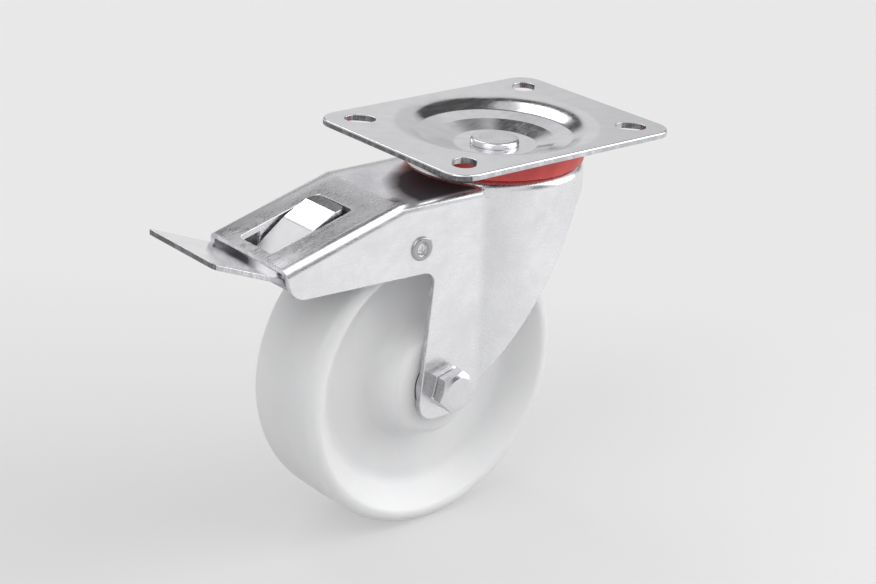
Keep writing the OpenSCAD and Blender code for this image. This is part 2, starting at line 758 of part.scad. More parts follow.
// Lug flanged down beside the window, round the pedal's pivot
module lug_side() {
    r = pedal_pin_d / 2 + pivot_wall;
    back = pedal_pivot[0] + r;
    front = pedal_pivot[0] - r;
    foot = pedal_pivot[2] - r;
    rounded_outline([
        [front, foot, r * nearly_round],
        [back, foot, r * nearly_round],
        [back, web_middle(back), 0],
        [front, web_middle(front), 0]
    ]);
}

module fork() color(zinc) {
    difference() {
        union() {
            intersection() {
                difference() {
                    fork_form(0);
                    fork_form(fork_t);
                }
                across(4 * crown_r) fork_side();
            }
            for (s = [-1, 1]) translate([0, s * (lug_y + lug_t / 2), 0]) across(lug_t) lug_side();
        }
        translate([0, 0, crown_top - fork_t - past]) cylinder(d = crown_bore_d, h = fork_t + 2 * past);
        translate([axle_x, 0, axle_z])
            rotate([90, 0, 0]) cylinder(d = bolt_d + 2 * fit, h = 4 * cheek_out, center = true);
        translate(arm_pivot)
            rotate([90, 0, 0]) cylinder(d = rivet_d + 2 * fit, h = 4 * cheek_out, center = true);
        translate(pedal_pivot)
            rotate([90, 0, 0]) cylinder(d = pedal_pin_d + 2 * fit, h = 2 * cheek_in, center = true);
        translate([-crease_x, 0, web_top]) rotate([0, -web_slope, 0])
            translate([-web_run + window_strip + window_l / 2, 0, -2 * fork_t])
                linear_extrude(3 * fork_t) rounded_rectangle(window_l, window_w, window_corner_r);
    }
}

// Brake

module pivot_rivets() color(bright_steel) {
    end_y = arm_y - arm_t;
    head_top = cheek_out + rivet_head_h;
    for (s = [0, 1]) mirror([0, s, 0])
        turned(arm_pivot[0], arm_pivot[2]) rounded_outline([
            [0, end_y - rivet_lip_h, 0],
            [rivet_d / 2 + rivet_lip_lap, end_y - rivet_lip_h, 0],
            [rivet_d / 2 + rivet_lip_lap, end_y - fit, 0],
            [rivet_d / 2, end_y - fit, 0],
            [rivet_d / 2, cheek_out, 0],
            [rivet_head_d / 2, cheek_out, 0],
            [rivet_head_d / 2, head_top, rivet_head_h * rivet_roll],
            [rivet_cup_d / 2, head_top, rivet_head_h * rivet_roll],
            [rivet_cup_d / 2, head_top - rivet_cup_h, 0],
            [0, head_top - rivet_cup_h, 0]
        ]);
}

module pedal_pin() color(bright_steel) {
    head_y = lug_y + lug_t + fit;
    translate(pedal_pivot) rotate([90, 0, 0]) {
        cylinder(d = pedal_pin_d, h = 2 * head_y, center = true);
        for (s = [-1, 1]) translate([0, 0, s * (head_y + pedal_pin_head_h / 2)])
            cylinder(d = pedal_pin_d + 2 * pedal_pin_head_lap, h = pedal_pin_head_h, center = true);
    }
}

// Foot plate and tongue seen from above
module pedal_plan() {
    shoulder = pedal_low[0];
    rounded_outline([
        [pedal_tip_x, -pedal_w / 2, pedal_tip_r],
        [shoulder, -pedal_w / 2, pedal_corner_r],
        [shoulder, -tongue_w / 2, pedal_corner_r],
        [tab_end_x, -tongue_w / 2, tab_corner_r],
        [tab_end_x, tongue_w / 2, tab_corner_r],
        [shoulder, tongue_w / 2, pedal_corner_r],
        [shoulder, pedal_w / 2, pedal_corner_r],
        [pedal_tip_x, pedal_w / 2, pedal_tip_r]
    ]);
}

// Height of the middle of the tongue's sheet
function tongue_middle(x) =
    pedal_low[1] + (x - pedal_low[0]) * tan(tongue_slope) - pedal_t / 2 / cos(tongue_slope);

// Ear folded down from the tongue round the pedal's pivot
module ear_side() {
    r = pedal_pin_d / 2 + pivot_wall - ear_inset;
    back = pedal_pivot[0] + r;
    front = pedal_pivot[0] - r;
    foot = pedal_pivot[2] - r;
    rounded_outline([
        [front, foot, r * nearly_round],
        [back, foot, r * nearly_round],
        [back, tongue_middle(back), 0],
        [front, tongue_middle(front), 0]
    ]);
}

module pedal() color(zinc) {
    difference() {
        union() {
            intersection() {
                across(pedal_w + 2 * past) bent_sheet(pedal_line, pedal_t, pedal_bends);
                translate([0, 0, 2 * pedal_low[1]]) linear_extrude(-3 * pedal_low[1]) pedal_plan();
            }
            for (s = [-1, 1]) translate([0, s * (ear_y + lug_t / 2), 0]) across(lug_t) ear_side();
        }
        translate(pedal_pivot) rotate([90, 0, 0])
            cylinder(d = pedal_pin_d + 2 * running_play, h = 2 * tongue_w, center = true);
    }
}

// Arm seen from above: a wide channel that narrows to the lock tooth's neck
module arm_plan() {
    front = arm_front[0] - past;
    rounded_outline([
        [front, -arm_y, 0],
        [neck_x, -arm_y, arm_shoulder_r],
        [neck_x, -neck_w / 2, neck_blend_r],
        [0, -neck_w / 2, 0],
        [0, neck_w / 2, 0],
        [neck_x, neck_w / 2, neck_blend_r],
        [neck_x, arm_y, arm_shoulder_r],
        [front, arm_y, 0]
    ]);
}

// Side walls of the arm, from the pedal back to the pivot rivets
module arm_side() {
    eye = rivet_d / 2 + pivot_wall;
    eye_front = arm_pivot[0] - eye;
    eye_back = arm_pivot[0] + eye;
    rounded_outline([
        [arm_front[0], arm_front[1] - arm_wall_h, arm_corner_r],
        [arm_low_x, arm_front[1] - arm_wall_h, arm_sweep_r],
        [eye_front, arm_pivot[2] - eye, arm_corner_r],
        [eye_back, arm_pivot[2] - eye, eye * nearly_round],
        [eye_back, arm_back_z - arm_t / 2, 0],
        [arm_crest_x, arm_back_z - arm_t / 2, 0],
        [arm_step_x, arm_shoe_z - arm_t / 2, 0],
        [arm_level_x, arm_shoe_z - arm_t / 2, 0],
        [arm_low_x, arm_front[1] - arm_t / 2, 0],
        [arm_front[0], arm_front[1] - arm_t / 2, 0]
    ]);
}

// Opening in the arm that leaves room for the pedal's lugs and ears
module arm_opening() {
    half = lug_y + lug_t + opening_gap_y;
    translate([pedal_pivot[0], 0, arm_front[1] - arm_t - past])
        linear_extrude(arm_t + 2 * past) rounded_rectangle(2 * opening_room, 2 * half, opening_corner_r);
}

module brake_arm() color(dark_steel) {
    difference() {
        union() {
            intersection() {
                across(4 * arm_y) bent_sheet(arm_line, arm_t, [for (p = arm_line) arm_t]);
                translate([0, 0, 2 * axle_z]) linear_extrude(-3 * axle_z) arm_plan();
            }
            for (s = [-1, 1]) translate([0, s * (arm_y - arm_t / 2), 0]) across(arm_t) arm_side();
            translate([tooth_x - tooth_t / 2, -tooth_w / 2, arm_back_z - arm_t / 2])
                cube([tooth_t, tooth_w, tooth_h + arm_t / 2]);
        }
        arm_opening();
        translate(arm_pivot) rotate([90, 0, 0])
            cylinder(d = rivet_d + 2 * running_play, h = 4 * arm_y, center = true);
        shoe_rivet_places() cylinder(d = shoe_rivet_d + 2 * fit, h = 3 * arm_t, center = true);
    }
}

module shoe_rivet_places() {
    for (s = [-1, 1]) translate([shoe_x, s * shoe_w / 4, arm_shoe_z - arm_t / 2]) children();
}

// Block whose lower face fits the tread when the arm is turned to its locked place
module brake_shoe() color(cage_grey) {
    top = arm_shoe_z - arm_t;
    rivet_hole = arm_t / 2 + shoe_rivet_h + fit;
    difference() {
        translate([shoe_x, 0, top - wheel_r / 2]) linear_extrude(wheel_r / 2)
            rounded_rectangle(shoe_l, shoe_w, shoe_corner_r);
        translate(arm_pivot) rotate([0, arm_turn, 0]) translate(-arm_pivot)
            translate([axle_x, 0, axle_z]) rotate([90, 0, 0])
                cylinder(r = wheel_r + shoe_gap, h = 2 * shoe_w, center = true);
        shoe_rivet_places() translate([0, 0, -rivet_hole])
            cylinder(d = shoe_rivet_d + 2 * fit, h = rivet_hole + past);
    }
}

module shoe_rivets() color(bright_steel) {
    foot = -arm_t / 2 - shoe_rivet_h;
    shoe_rivet_places() rotate_extrude() rounded_outline([
        [0, foot, 0],
        [shoe_rivet_d / 2, foot, 0],
        [shoe_rivet_d / 2, arm_t / 2, 0],
        [shoe_rivet_d, arm_t / 2, 0],
        [shoe_rivet_d - shoe_rivet_head_h / 2, arm_t / 2 + shoe_rivet_head_h, shoe_rivet_head_h / 2],
        [0, arm_t / 2 + shoe_rivet_head_h, 0]
    ]);
}

// Wheel and axle

// Half section of the wheel: tread, sloping rim, web and hub, as radius and width
module wheel_section() {
    face = wheel_w / 2;
    web = wheel_web_t / 2;
    hub = hub_w / 2;
    half = [
        [hub_bore_r, hub, hub_mouth_r],
        [hub_d / 2, hub, hub_edge_r],
        [hub_d / 2 + hub_draft, web, hub_hollow_r],
        [rim_root_d / 2, web, rim_hollow_r],
        [rim_d / 2, face, rim_edge_r],
        [wheel_r, face, tread_edge_r]
    ];
    last = len(half) - 1;
    rounded_outline(concat(
        [for (i = [0 : last]) [half[i][0], -half[i][1], half[i][2]]],
        [for (i = [last : -1 : 0]) half[i]]
    ));
}

module wheel() color(milky_white) turned(axle_x, axle_z) wheel_section();

module roller_places() {
    for (i = [0 : roller_n - 1])
        translate([axle_x, 0, axle_z]) rotate([90, i * 360 / roller_n, 0]) translate([roller_pitch_r, 0, 0])
            children();
}

module bearing_cage() color(cage_grey) {
    half = roller_l / 2 + cage_end;
    difference() {
        turned(axle_x, axle_z)
            translate([roller_pitch_r - cage_wall / 2, -half]) square([cage_wall, 2 * half]);
        roller_places()
            cylinder(d = roller_d + 4 * running_play, h = roller_l + 4 * running_play, center = true);
    }
}

module bearing_rollers() color(bright_steel)
    roller_places() cylinder(d = roller_d, h = roller_l, center = true);

module axle_tube() color(zinc)
    turned(axle_x, axle_z) translate([bolt_d / 2 + fit, -cheek_in])
        square([tube_d / 2 - bolt_d / 2 - fit, 2 * cheek_in]);

module hub_washers() color(zinc) {
    bore_r = tube_d / 2 + fit;
    for (s = [0, 1]) mirror([0, s, 0])
        turned(axle_x, axle_z) translate([bore_r, hub_w / 2 + running_play])
            square([washer_d / 2 - bore_r, washer_t - running_play]);
}

module axle_bolt() color(bright_steel)
    translate([axle_x, 0, axle_z]) rotate([90, 0, 0]) {
        translate([0, 0, -cheek_out - nut_h - bolt_end])
            cylinder(d = bolt_d, h = 2 * cheek_out + nut_h + bolt_end + collar_h + past);
        hexagon(bolt_af, cheek_out + collar_h, cheek_out + collar_h + bolt_head_h);
    }

module hex_collar() color(bright_steel)
    translate([axle_x, 0, axle_z]) rotate([90, 0, 0]) difference() {
        hexagon(bolt_af, cheek_out, cheek_out + collar_h);
        cylinder(d = bolt_d + 2 * fit, h = 3 * cheek_out);
    }

module axle_nut() color(bright_steel)
    translate([axle_x, 0, axle_z]) rotate([-90, 0, 0]) difference() {
        hexagon(bolt_af, cheek_out, cheek_out + nut_h);
        cylinder(d = bolt_d + 2 * fit, h = 3 * cheek_out);
    }

top_plate();
king_pin();
dust_seal();
upper_balls();
lower_balls();
lower_race();
lock_ring();
fork();
pivot_rivets();
pedal_pin();
pedal();
brake_arm();
brake_shoe();
shoe_rivets();
wheel();
bearing_cage();
bearing_rollers();
axle_tube();
hub_washers();
axle_bolt();
hex_collar();
axle_nut();
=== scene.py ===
"""Looks of a braked swivel castor: its finishes, its turned, rolled and threaded pieces, and the studio."""

import math

import bmesh
import bpy
import numpy as np
from bpy.props import FloatProperty, FloatVectorProperty, PointerProperty
from bpy.types import Operator, Panel, PropertyGroup
from mathutils import Matrix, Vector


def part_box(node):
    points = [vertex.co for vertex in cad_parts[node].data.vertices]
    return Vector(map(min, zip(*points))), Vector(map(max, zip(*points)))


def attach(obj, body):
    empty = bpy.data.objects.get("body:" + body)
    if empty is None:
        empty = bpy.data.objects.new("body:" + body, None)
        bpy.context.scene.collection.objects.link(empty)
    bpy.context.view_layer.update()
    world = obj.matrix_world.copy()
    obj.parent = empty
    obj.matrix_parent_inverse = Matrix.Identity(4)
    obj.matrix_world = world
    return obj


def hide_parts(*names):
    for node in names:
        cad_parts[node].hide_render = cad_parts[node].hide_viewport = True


bl_info = {
    "name": "Braked Castor",
    "version": (1, 0, 0),
    "blender": (4, 5, 0),
    "location": "3D View > Sidebar > Castor",
    "description": "Finishes and fine pieces of a braked swivel castor on its CAD frame",
    "category": "Object",
}

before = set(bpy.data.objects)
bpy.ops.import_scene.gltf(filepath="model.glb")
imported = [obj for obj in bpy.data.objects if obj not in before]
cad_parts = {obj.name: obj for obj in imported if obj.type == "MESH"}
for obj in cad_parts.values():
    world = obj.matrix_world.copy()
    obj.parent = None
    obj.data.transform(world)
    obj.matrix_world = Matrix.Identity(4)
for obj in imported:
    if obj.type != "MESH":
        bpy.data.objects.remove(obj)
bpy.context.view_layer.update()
MM = 0.001


def span(node):
    """Lowest and highest corner of a CAD node as arrays, in metres."""
    low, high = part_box(node)
    return np.array(low), np.array(high)


WHEEL_LOW, WHEEL_HIGH = span("wheel")
AXLE = (WHEEL_LOW + WHEEL_HIGH) / 2
RIVET_LOW, RIVET_HIGH = span("pivot_rivets")
RIVET_AXIS = (RIVET_LOW + RIVET_HIGH) / 2
PIN_LOW, PIN_HIGH = span("king_pin")
SEAL_LOW, SEAL_HIGH = span("dust_seal")
BOLT_LOW, BOLT_HIGH = span("axle_bolt")
COLLAR_LOW, COLLAR_HIGH = span("hex_collar")
NUT_LOW, NUT_HIGH = span("axle_nut")
FORK_LOW, FORK_HIGH = span("fork")

# Faces are shaded smooth up to the first angle, and edges of sheet are rounded from the second on, in degrees
SMOOTH_LIMIT, SHARP_EDGE = 32.0, 38.0
# Step that the CAD's points are rounded to before they are joined
GRID = 2e-7
# Part of a unit normal along an axis from which a face counts as turned towards that axis
TOWARDS = 0.3
# Painted shade beside the swivel bearing: a dark, dull patch on the fork's upper face and the plate's underside that
# stands in for the dark reflection of the seal and plate in shade. Its middle, where it fades out, how far its edge
# wanders, how much rougher it makes the sheet, and the radius and the height from which it shows
SHADE_SPOT = (-30 * MM, -30 * MM, FORK_HIGH[2])
SHADE_FADE = (44 * MM, 54 * MM)
SHADE_WANDER = 9 * MM
SHADE_ROUGH = 0.25
CROWN_EDGE = (44 * MM, 45 * MM)
UPPER_FACE = (FORK_HIGH[2] - 4.2 * MM, FORK_HIGH[2] - 3.2 * MM)
# Bands where the housing's upper face is drawn in: their start and width across, and the factor of their square
DRAWN_START, DRAWN_WIDTH, DRAWN_RATE = 18 * MM, 7.5 * MM, -17.0
# Share of bright specks on the dark sheared edges, whose darkness is painted shade, and on the clean sheared edges
SHADED_SPECKS, CLEAN_SPECKS = 0.3, 1.0


def length(name, default, description):
    """A length property in metres."""
    return FloatProperty(name=name, description=description, default=float(default), min=0.0, precision=5,
                         unit="LENGTH")


def share(name, default, description):
    """A property from 0 to 1."""
    return FloatProperty(name=name, description=description, default=default, min=0.0, max=1.0, subtype="FACTOR")


def paint(name, default, description):
    """A linear colour property."""
    return FloatVectorProperty(name=name, description=description, default=default, size=3, min=0.0, max=1.0,
                               subtype="COLOR")


class CastorMetal(PropertyGroup):
    """Zinc-plated sheet and bright turned steel."""

    sheet_light: paint("Sheet, light", (0.90, 0.90, 0.92), "Colour of freshly plated sheet")
    sheet_dull: paint("Sheet, dull", (0.83, 0.83, 0.855), "Colour of the sheet's duller patches")
    sheet_smooth: share("Sheet, smoothest", 0.12, "Roughness of the sheet's brightest patches")
    sheet_rough: share("Sheet, roughest", 0.20, "Roughness of the sheet's dullest patches")
    drawn_rough: share("Drawn sheet", 0.12, "How much rougher deep-drawn sheet is than flat sheet")
    # Painted shade: dark colour of the sheared edges that face -X, away from the main light; the dark steel's worn
    # patches use it too
    cut_edge: paint("Cut edge", (0.16, 0.16, 0.17), "Colour of torn, sheared edges")
    shear_edge: paint("Clean edge", (0.60, 0.60, 0.62), "Colour of clean, burnished sheared edges")
    # Painted shade: dark colour of the patch beside the swivel bearing that stands in for the dark reflection of the
    # seal and plate in shade
    painted_shade: paint("Grease", (0.075, 0.065, 0.072), "Colour of sheet under the swivel bearing's grease")
    turned: paint("Turned steel", (0.84, 0.84, 0.86), "Colour of the pin, the rivets and the bolt")
    # On the hexagons' flats this darker steel is a painted dark reflection; on the rivets' rings it is darker than
    # their bright cups
    rivet: paint("Rivet steel", (0.48, 0.48, 0.49), "Colour of the rivets' rings and the hexagons' flats")
    dark: paint("Dark steel", (0.32, 0.32, 0.34), "Colour of the brake arm and the lock ring")
    edge_bevel: length("Edge rounding", 0.35 * MM, "Rounding on the edges of pressed sheet")


class CastorWheel(PropertyGroup):
    """Polyamide wheel."""

    nylon_light: paint("Nylon, light", (0.93, 0.932, 0.94), "Colour of the milky polyamide")
    nylon_grey: paint("Nylon, grey", (0.885, 0.888, 0.897), "Colour of its slightly greyer clouds")
    tread_half: length("Half tread", 24 * MM, "Half of the tread's width")
    web_half: length("Half web", 11 * MM, "Half of the web's thickness")
    rim_r: length("Rim", 67.9 * MM, "Radius of the rim's inner edge at the tread's side")
    root_r: length("Rim root", 56 * MM, "Radius where the rim's inner wall meets the web")
    hub_r: length("Hub", 26 * MM, "Radius of the hub's face")
    hub_draft: length("Hub draft", 3 * MM, "How much wider the hub is at the web")
    bore_r: length("Bore", 15.1 * MM, "Radius of the hub's bore")
    crowning: length("Crowning", 0.35 * MM, "How much lower the tread is at its edges than in its middle")
    ridge: length("Parting ridge", 0.05 * MM, "Height of the mould's parting ridge round the tread")


class CastorSwivel(PropertyGroup):
    """King pin and dust seal."""

    seal_red: paint("Seal red", (0.90, 0.115, 0.11), "Colour of the dust seal")
    seal_dark: paint("Seal, dark", (0.76, 0.085, 0.08), "Colour of the seal's darker clouds")
    seal_bore: length("Seal bore", 38.4 * MM, "Inner radius of the seal")
    seal_lip: length("Seal lip", 43.4 * MM, "Radius of the seal's lower lip")
    groove: length("Seal groove", 0.05 * MM, "Depth of the grooves round the seal")
    pin_r: length("Pin", 6 * MM, "Radius of the king pin's shank")
    head_h: length("Pin head", 3.2 * MM, "Height of the king pin's head")


class CastorAxle(PropertyGroup):
    """Axle bolt, collar, nut and pivot rivets."""

    flats: length("Across flats", 19 * MM, "Width across the flats of the head, the collar and the nut")
    turn: FloatProperty(name="Turn", description="Turn of the hexagons about the axle", default=math.radians(16),
                        subtype="ANGLE", unit="ROTATION")
    chamfer: length("Chamfer", 2.9 * MM, "Radial depth of the chamfer on the hexagons' corners")
    bolt_r: length("Bolt", 6 * MM, "Radius of the bolt's thread")
    pitch: length("Thread pitch", 1.75 * MM, "Pitch of the bolt's thread")
    thread_depth: length("Thread depth", 0.95 * MM, "Depth of the bolt's thread")
    insert: paint("Nut insert", (0.72, 0.73, 0.74), "Colour of the lock nut's plastic ring")
    rivet_r: length("Rivet", 4 * MM, "Radius of a pivot rivet's shank")
    cup_r: length("Rivet cup", 2.7 * MM, "Radius of the cup in a pivot rivet's head")
    cup_h: length("Rivet cup depth", 2.6 * MM, "Depth of the cup in a pivot rivet's head")


class CastorStudio(PropertyGroup):
    """Floor, light and camera."""

    floor: paint("Floor", (0.825, 0.825, 0.825), "Colour of the paper floor")
    # Painted shade: the floor's darker colour in front of the castor, where its light falls off
    floor_shaded_near: paint("Floor, near", (0.745, 0.745, 0.747), "Colour of the floor in front of the castor")
    # Painted light: the floor's lighter pool beside the castor
    floor_lit_side: paint("Floor, side", (0.95, 0.95, 0.95), "Colour of the floor beside the castor, on the bolt's side")
    fade: share("Shadow fade", 0.6, "How much the paper's own glow fades the shadows on it")
    sky: FloatProperty(name="Room light", description="Strength of the even light of the white room", default=0.58,
                       min=0.0)
    damp: share("Bounce damping", 0.35, "Share of the floor's bounced light that is kept off the castor")
    soft: FloatProperty(name="Panel edge", description="Softness of the edges of the room's panels", default=0.03,
                        min=0.0)
    lens: FloatProperty(name="Lens", description="Focal length of the camera", default=85.246, unit="CAMERA")


# Shapes


def rounded(points, steps=6):
    """Open outline through corners [a, b, radius]. A corner of radius r that turns by t is cut back by r tan(t / 2)
    along both sides, and an arc of that radius joins the two cuts."""
    p = np.asarray(points, float)
    at, r = p[:, :2], p[:, 2]
    into = np.diff(at, axis=0)
    into /= np.linalg.norm(into, axis=1)[:, None]
    u, v = into[:-1], into[1:]
    bend = np.arctan2(u[:, 0] * v[:, 1] - u[:, 1] * v[:, 0], (u * v).sum(1))
    reach = r[1:-1] * np.tan(np.abs(bend) / 2)
    first = at[1:-1] - u * reach[:, None]
    normal = np.stack([-u[:, 1], u[:, 0]], 1) * (np.sign(bend) * r[1:-1])[:, None]
    centre = first + normal
    t = bend[:, None] * np.linspace(0, 1, steps + 1)
    arm = -normal
    arcs = centre[:, None] + np.stack(
        [arm[:, None, 0] * np.cos(t) - arm[:, None, 1] * np.sin(t),
         arm[:, None, 0] * np.sin(t) + arm[:, None, 1] * np.cos(t)], -1)
    line = np.concatenate([at[:1], arcs.reshape(-1, 2), at[-1:]])
    step = np.linalg.norm(np.diff(line, axis=0), axis=1)
    return line[np.concatenate([[True], step > 1e-7])]


def ring_faces(rows, cols, closed):
    """Quads of a grid whose columns wrap round, and whose rows wrap round too if it is closed."""
    i, j = np.meshgrid(np.arange(rows if closed else rows - 1), np.arange(cols), indexing="ij")
    i2, j2 = (i + 1) % rows, (j + 1) % cols
    return np.stack([i * cols + j, i2 * cols + j, i2 * cols + j2, i * cols + j2], -1).reshape(-1, 4)


def about_z(r, z, angle):
    """Points at radius r and height z, turned round the Z axis: (r cos a, r sin a, z)."""
    r, z, angle = np.broadcast_arrays(r, z, angle)
    return np.stack([r * np.cos(angle), r * np.sin(angle), z], -1)


def about_y(r, y, angle, centre):
    """Points at radius r and place y, turned round an axis along Y: (x + r cos a, y, z + r sin a)."""
    r, y, angle = np.broadcast_arrays(r, y, angle)
    return np.stack([centre[0] + r * np.cos(angle), y, centre[2] + r * np.sin(angle)], -1)


def circle(count, start=0.0):
    """Angles of a full circle as one row."""
    return (start + np.arange(count) * (2 * np.pi / count))[None, :]


def hexagon(angle, flats, turn):
    """Radius of a hexagon's outline at each angle: half the flats over the cosine of the angle to a flat's middle."""
    off = np.mod(angle - turn, np.pi / 3) - np.pi / 6
    return flats / 2 / np.cos(off)


def settle(bm, mesh, sharp):
    """Puts edited faces back into their mesh, smooth up to a sharp angle in degrees."""
    bm.to_mesh(mesh)
    bm.free()
    mesh.shade_smooth()
    mesh.set_sharp_from_angle(angle=math.radians(sharp))
    return mesh


def make_mesh(name, points, faces, sharp=SMOOTH_LIMIT):
    """Mesh from whole arrays, with doubles merged at its poles and outward normals."""
    mesh = bpy.data.meshes.new(name)
    mesh.from_pydata(points.reshape(-1, 3).tolist(), [], faces.tolist())
    bm = bmesh.new()
    bm.from_mesh(mesh)
    bmesh.ops.remove_doubles(bm, verts=bm.verts[:], dist=1e-7)
    bmesh.ops.dissolve_degenerate(bm, edges=bm.edges[:], dist=1e-8)
    bmesh.ops.recalc_face_normals(bm, faces=bm.faces[:])
    return settle(bm, mesh, sharp)


def lathe(name, line, count, closed, centre=None, way=1.0):
    """Mesh of an outline [radius, place] turned round the Z axis, or round an axis along Y through a centre. Way -1
    puts it on the other side."""
    r, place, angle = line[:, :1], way * line[:, 1:], circle(count)
    points = about_z(r, place, angle) if centre is None else about_y(r, place, angle, centre)
    return make_mesh(name, points, ring_faces(len(line), count, closed))


def add_piece(name, mesh, body, slot, finishes, *nodes):
    """Object for a mesh that rides on a body, takes its finishes and stands for CAD nodes."""
    piece = bpy.data.objects.new(name, mesh)
    bpy.context.scene.collection.objects.link(piece)
    mesh.materials.clear()
    for finish in finishes:
        mesh.materials.append(finish)
    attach(piece, body)
    if nodes:
        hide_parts(*nodes)
    return piece


def values(items, key, width=1, kind=np.float32):
    """One attribute of a mesh's items as an array with a row for each item."""
    flat = np.empty(len(items) * width, kind)
    items.foreach_get(key, flat)
    return flat.reshape(-1, width)


def merged_copy(node):
    """Copy of a CAD node's mesh with its loose triangles joined and its flat faces made whole."""
    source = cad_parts[node].data
    source.calc_loop_triangles()
    keys = np.round(values(source.vertices, "co", 3) / GRID).astype(np.int64)
    unique, where = np.unique(keys, axis=0, return_inverse=True)
    tri = where.reshape(-1)[values(source.loop_triangles, "vertices", 3, np.int32)]
    whole = (tri[:, 0] != tri[:, 1]) & (tri[:, 1] != tri[:, 2]) & (tri[:, 2] != tri[:, 0])
    mesh = bpy.data.meshes.new(node + "_sheet")
    mesh.from_pydata((unique * GRID).tolist(), [], tri[whole].tolist())
    bm = bmesh.new()
    bm.from_mesh(mesh)
    bmesh.ops.remove_doubles(bm, verts=bm.verts[:], dist=2e-6)
    bmesh.ops.dissolve_degenerate(bm, dist=5e-6, edges=bm.edges[:])
    bmesh.ops.dissolve_limit(bm, angle_limit=math.radians(0.3), use_dissolve_boundaries=False, verts=bm.verts[:],
                             edges=bm.edges[:])
    return settle(bm, mesh, SMOOTH_LIMIT)


def face_arrays(mesh):
    """Centres and normals of a mesh's faces."""
    return values(mesh.polygons, "center", 3), values(mesh.polygons, "normal", 3)


def set_finish(mesh, index):
    """Says for each face which of its mesh's finishes it takes."""
    mesh.polygons.foreach_set("material_index", index.astype(np.int32))


def round_edges(piece, width, skip=None):
    """Bevel on the sharp edges of pressed sheet, with normals that keep its flats flat. An edge counts as sharp by the
    angle between its two faces' normals. Skip takes the edges' middles and says which stay sharp."""
    mesh = piece.data
    edge = values(mesh.loops, "edge_index", kind=np.int32)[:, 0]
    total = values(mesh.polygons, "loop_total", kind=np.int32)[:, 0]
    beside = np.repeat(np.arange(len(total)), total)[np.argsort(edge, kind="stable")].reshape(-1, 2)
    _, normal = face_arrays(mesh)
    sharp = (normal[beside[:, 0]] * normal[beside[:, 1]]).sum(1) < math.cos(math.radians(SHARP_EDGE))
    if skip:
        ends = values(mesh.edges, "vertices", 2, np.int32)
        sharp &= ~skip(values(mesh.vertices, "co", 3)[ends].mean(1))
    mesh.attributes.new("bevel_weight_edge", "FLOAT", "EDGE").data.foreach_set("value", sharp.astype(np.float32))
    bevel = piece.modifiers.new("Edge rounding", "BEVEL")
    bevel.width = width
    bevel.segments = 2
    bevel.limit_method = "WEIGHT"
    bevel.use_clamp_overlap = False
    bevel.miter_outer = "MITER_ARC"
    flat = piece.modifiers.new("Flat faces", "WEIGHTED_NORMAL")
    flat.keep_sharp = True
    flat.weight = 60


# Finishes


class Nodes:
    """A node tree with short ways to add and join its nodes."""

    def __init__(self, tree):
        self.tree = tree

    def node(self, kind, inputs=None, **settings):
        """New node with its settings and its inputs, which are values or other nodes' sockets."""
        made = self.tree.nodes.new(kind)
        for key, value in settings.items():
            setattr(made, key, value)
        for key, value in (inputs or {}).items():
            self.put(made.inputs[key], value)
        return made

    def put(self, socket, value):
        """Sets an input, or joins another node's socket to it."""
        if isinstance(value, bpy.types.NodeSocket):
            self.tree.links.new(value, socket)
        elif getattr(socket, "type", "") == "RGBA" and len(value) == 3:
            socket.default_value = (*value, 1.0)
        else:
            socket.default_value = value

    def math(self, operation, first, second=0.0):
        """Sum, product or other result of one or two values."""
        made = self.node("ShaderNodeMath", {0: first, 1: second}, operation=operation)
        return made.outputs["Value"]


class Finish(Nodes):
    """A node material."""

    def __init__(self, name):
        self.material = bpy.data.materials.new(name)
        self.material.use_nodes = True
        super().__init__(self.material.node_tree)
        self.shader = self.tree.nodes["Principled BSDF"]
        self.place = self.node("ShaderNodeTexCoord").outputs["Object"]

    def shade(self, **inputs):
        """Sets inputs of the main shader, with underscores for spaces."""
        for key, value in inputs.items():
            self.put(self.shader.inputs[key.replace("_", " ")], value)

    def noise(self, scale, detail=3.0, stretch=None, rough=0.5):
        """Noise from 0 to 1 with so many features a metre, drawn out along an axis where stretch is small."""
        at = self.place
        if stretch:
            at = self.node("ShaderNodeMapping", {"Vector": at, "Scale": stretch}).outputs["Vector"]
        made = self.node("ShaderNodeTexNoise", {"Vector": at, "Scale": scale, "Detail": detail, "Roughness": rough})
        return made.outputs["Fac"]

    def between(self, value, low, high, start=0.3, end=0.7):
        """Value from start to end mapped to the range low to high."""
        made = self.node("ShaderNodeMapRange", {"Value": value, "From Min": start, "From Max": end, "To Min": low,
                                                "To Max": high})
        return made.outputs["Result"]

    def mix(self, share_of, first, second):
        """Colour between two others."""
        made = self.node("ShaderNodeMix", data_type="RGBA")
        self.put(made.inputs["Factor"], share_of)
        self.put(made.inputs["A"], first)
        self.put(made.inputs["B"], second)
        return made.outputs["Result"]

    def bump(self, height, distance):
        """Raises the surface by height times distance."""
        made = self.node("ShaderNodeBump", {"Height": height, "Distance": distance, "Strength": 1.0})
        self.put(self.shader.inputs["Normal"], made.outputs["Normal"])


def bearing_shade_paint(f, at):
    """Share of painted shade on the sheet beside the swivel bearing, a dark patch that stands in for the dark
    reflection
    of the seal and plate in shade: it covers the upper face outside the crown's edge, within a ragged circle on the
    near side."""
    out = f.math("SQRT", f.math("ADD", f.math("POWER", at["X"], 2.0), f.math("POWER", at["Y"], 2.0)))
    spot = f.node("ShaderNodeVectorMath", {0: f.place, 1: SHADE_SPOT}, operation="DISTANCE")
    ragged = f.math("ADD", spot.outputs["Value"], f.math("MULTIPLY", f.noise(70.0), SHADE_WANDER))
    near = f.between(ragged, 1.0, 0.0, *SHADE_FADE)
    beyond = f.between(out, 0.0, 1.0, *CROWN_EDGE)
    top = f.between(at["Z"], 0.0, 1.0, *UPPER_FACE)
    return f.math("MULTIPLY", near, f.math("MULTIPLY", beyond, top))


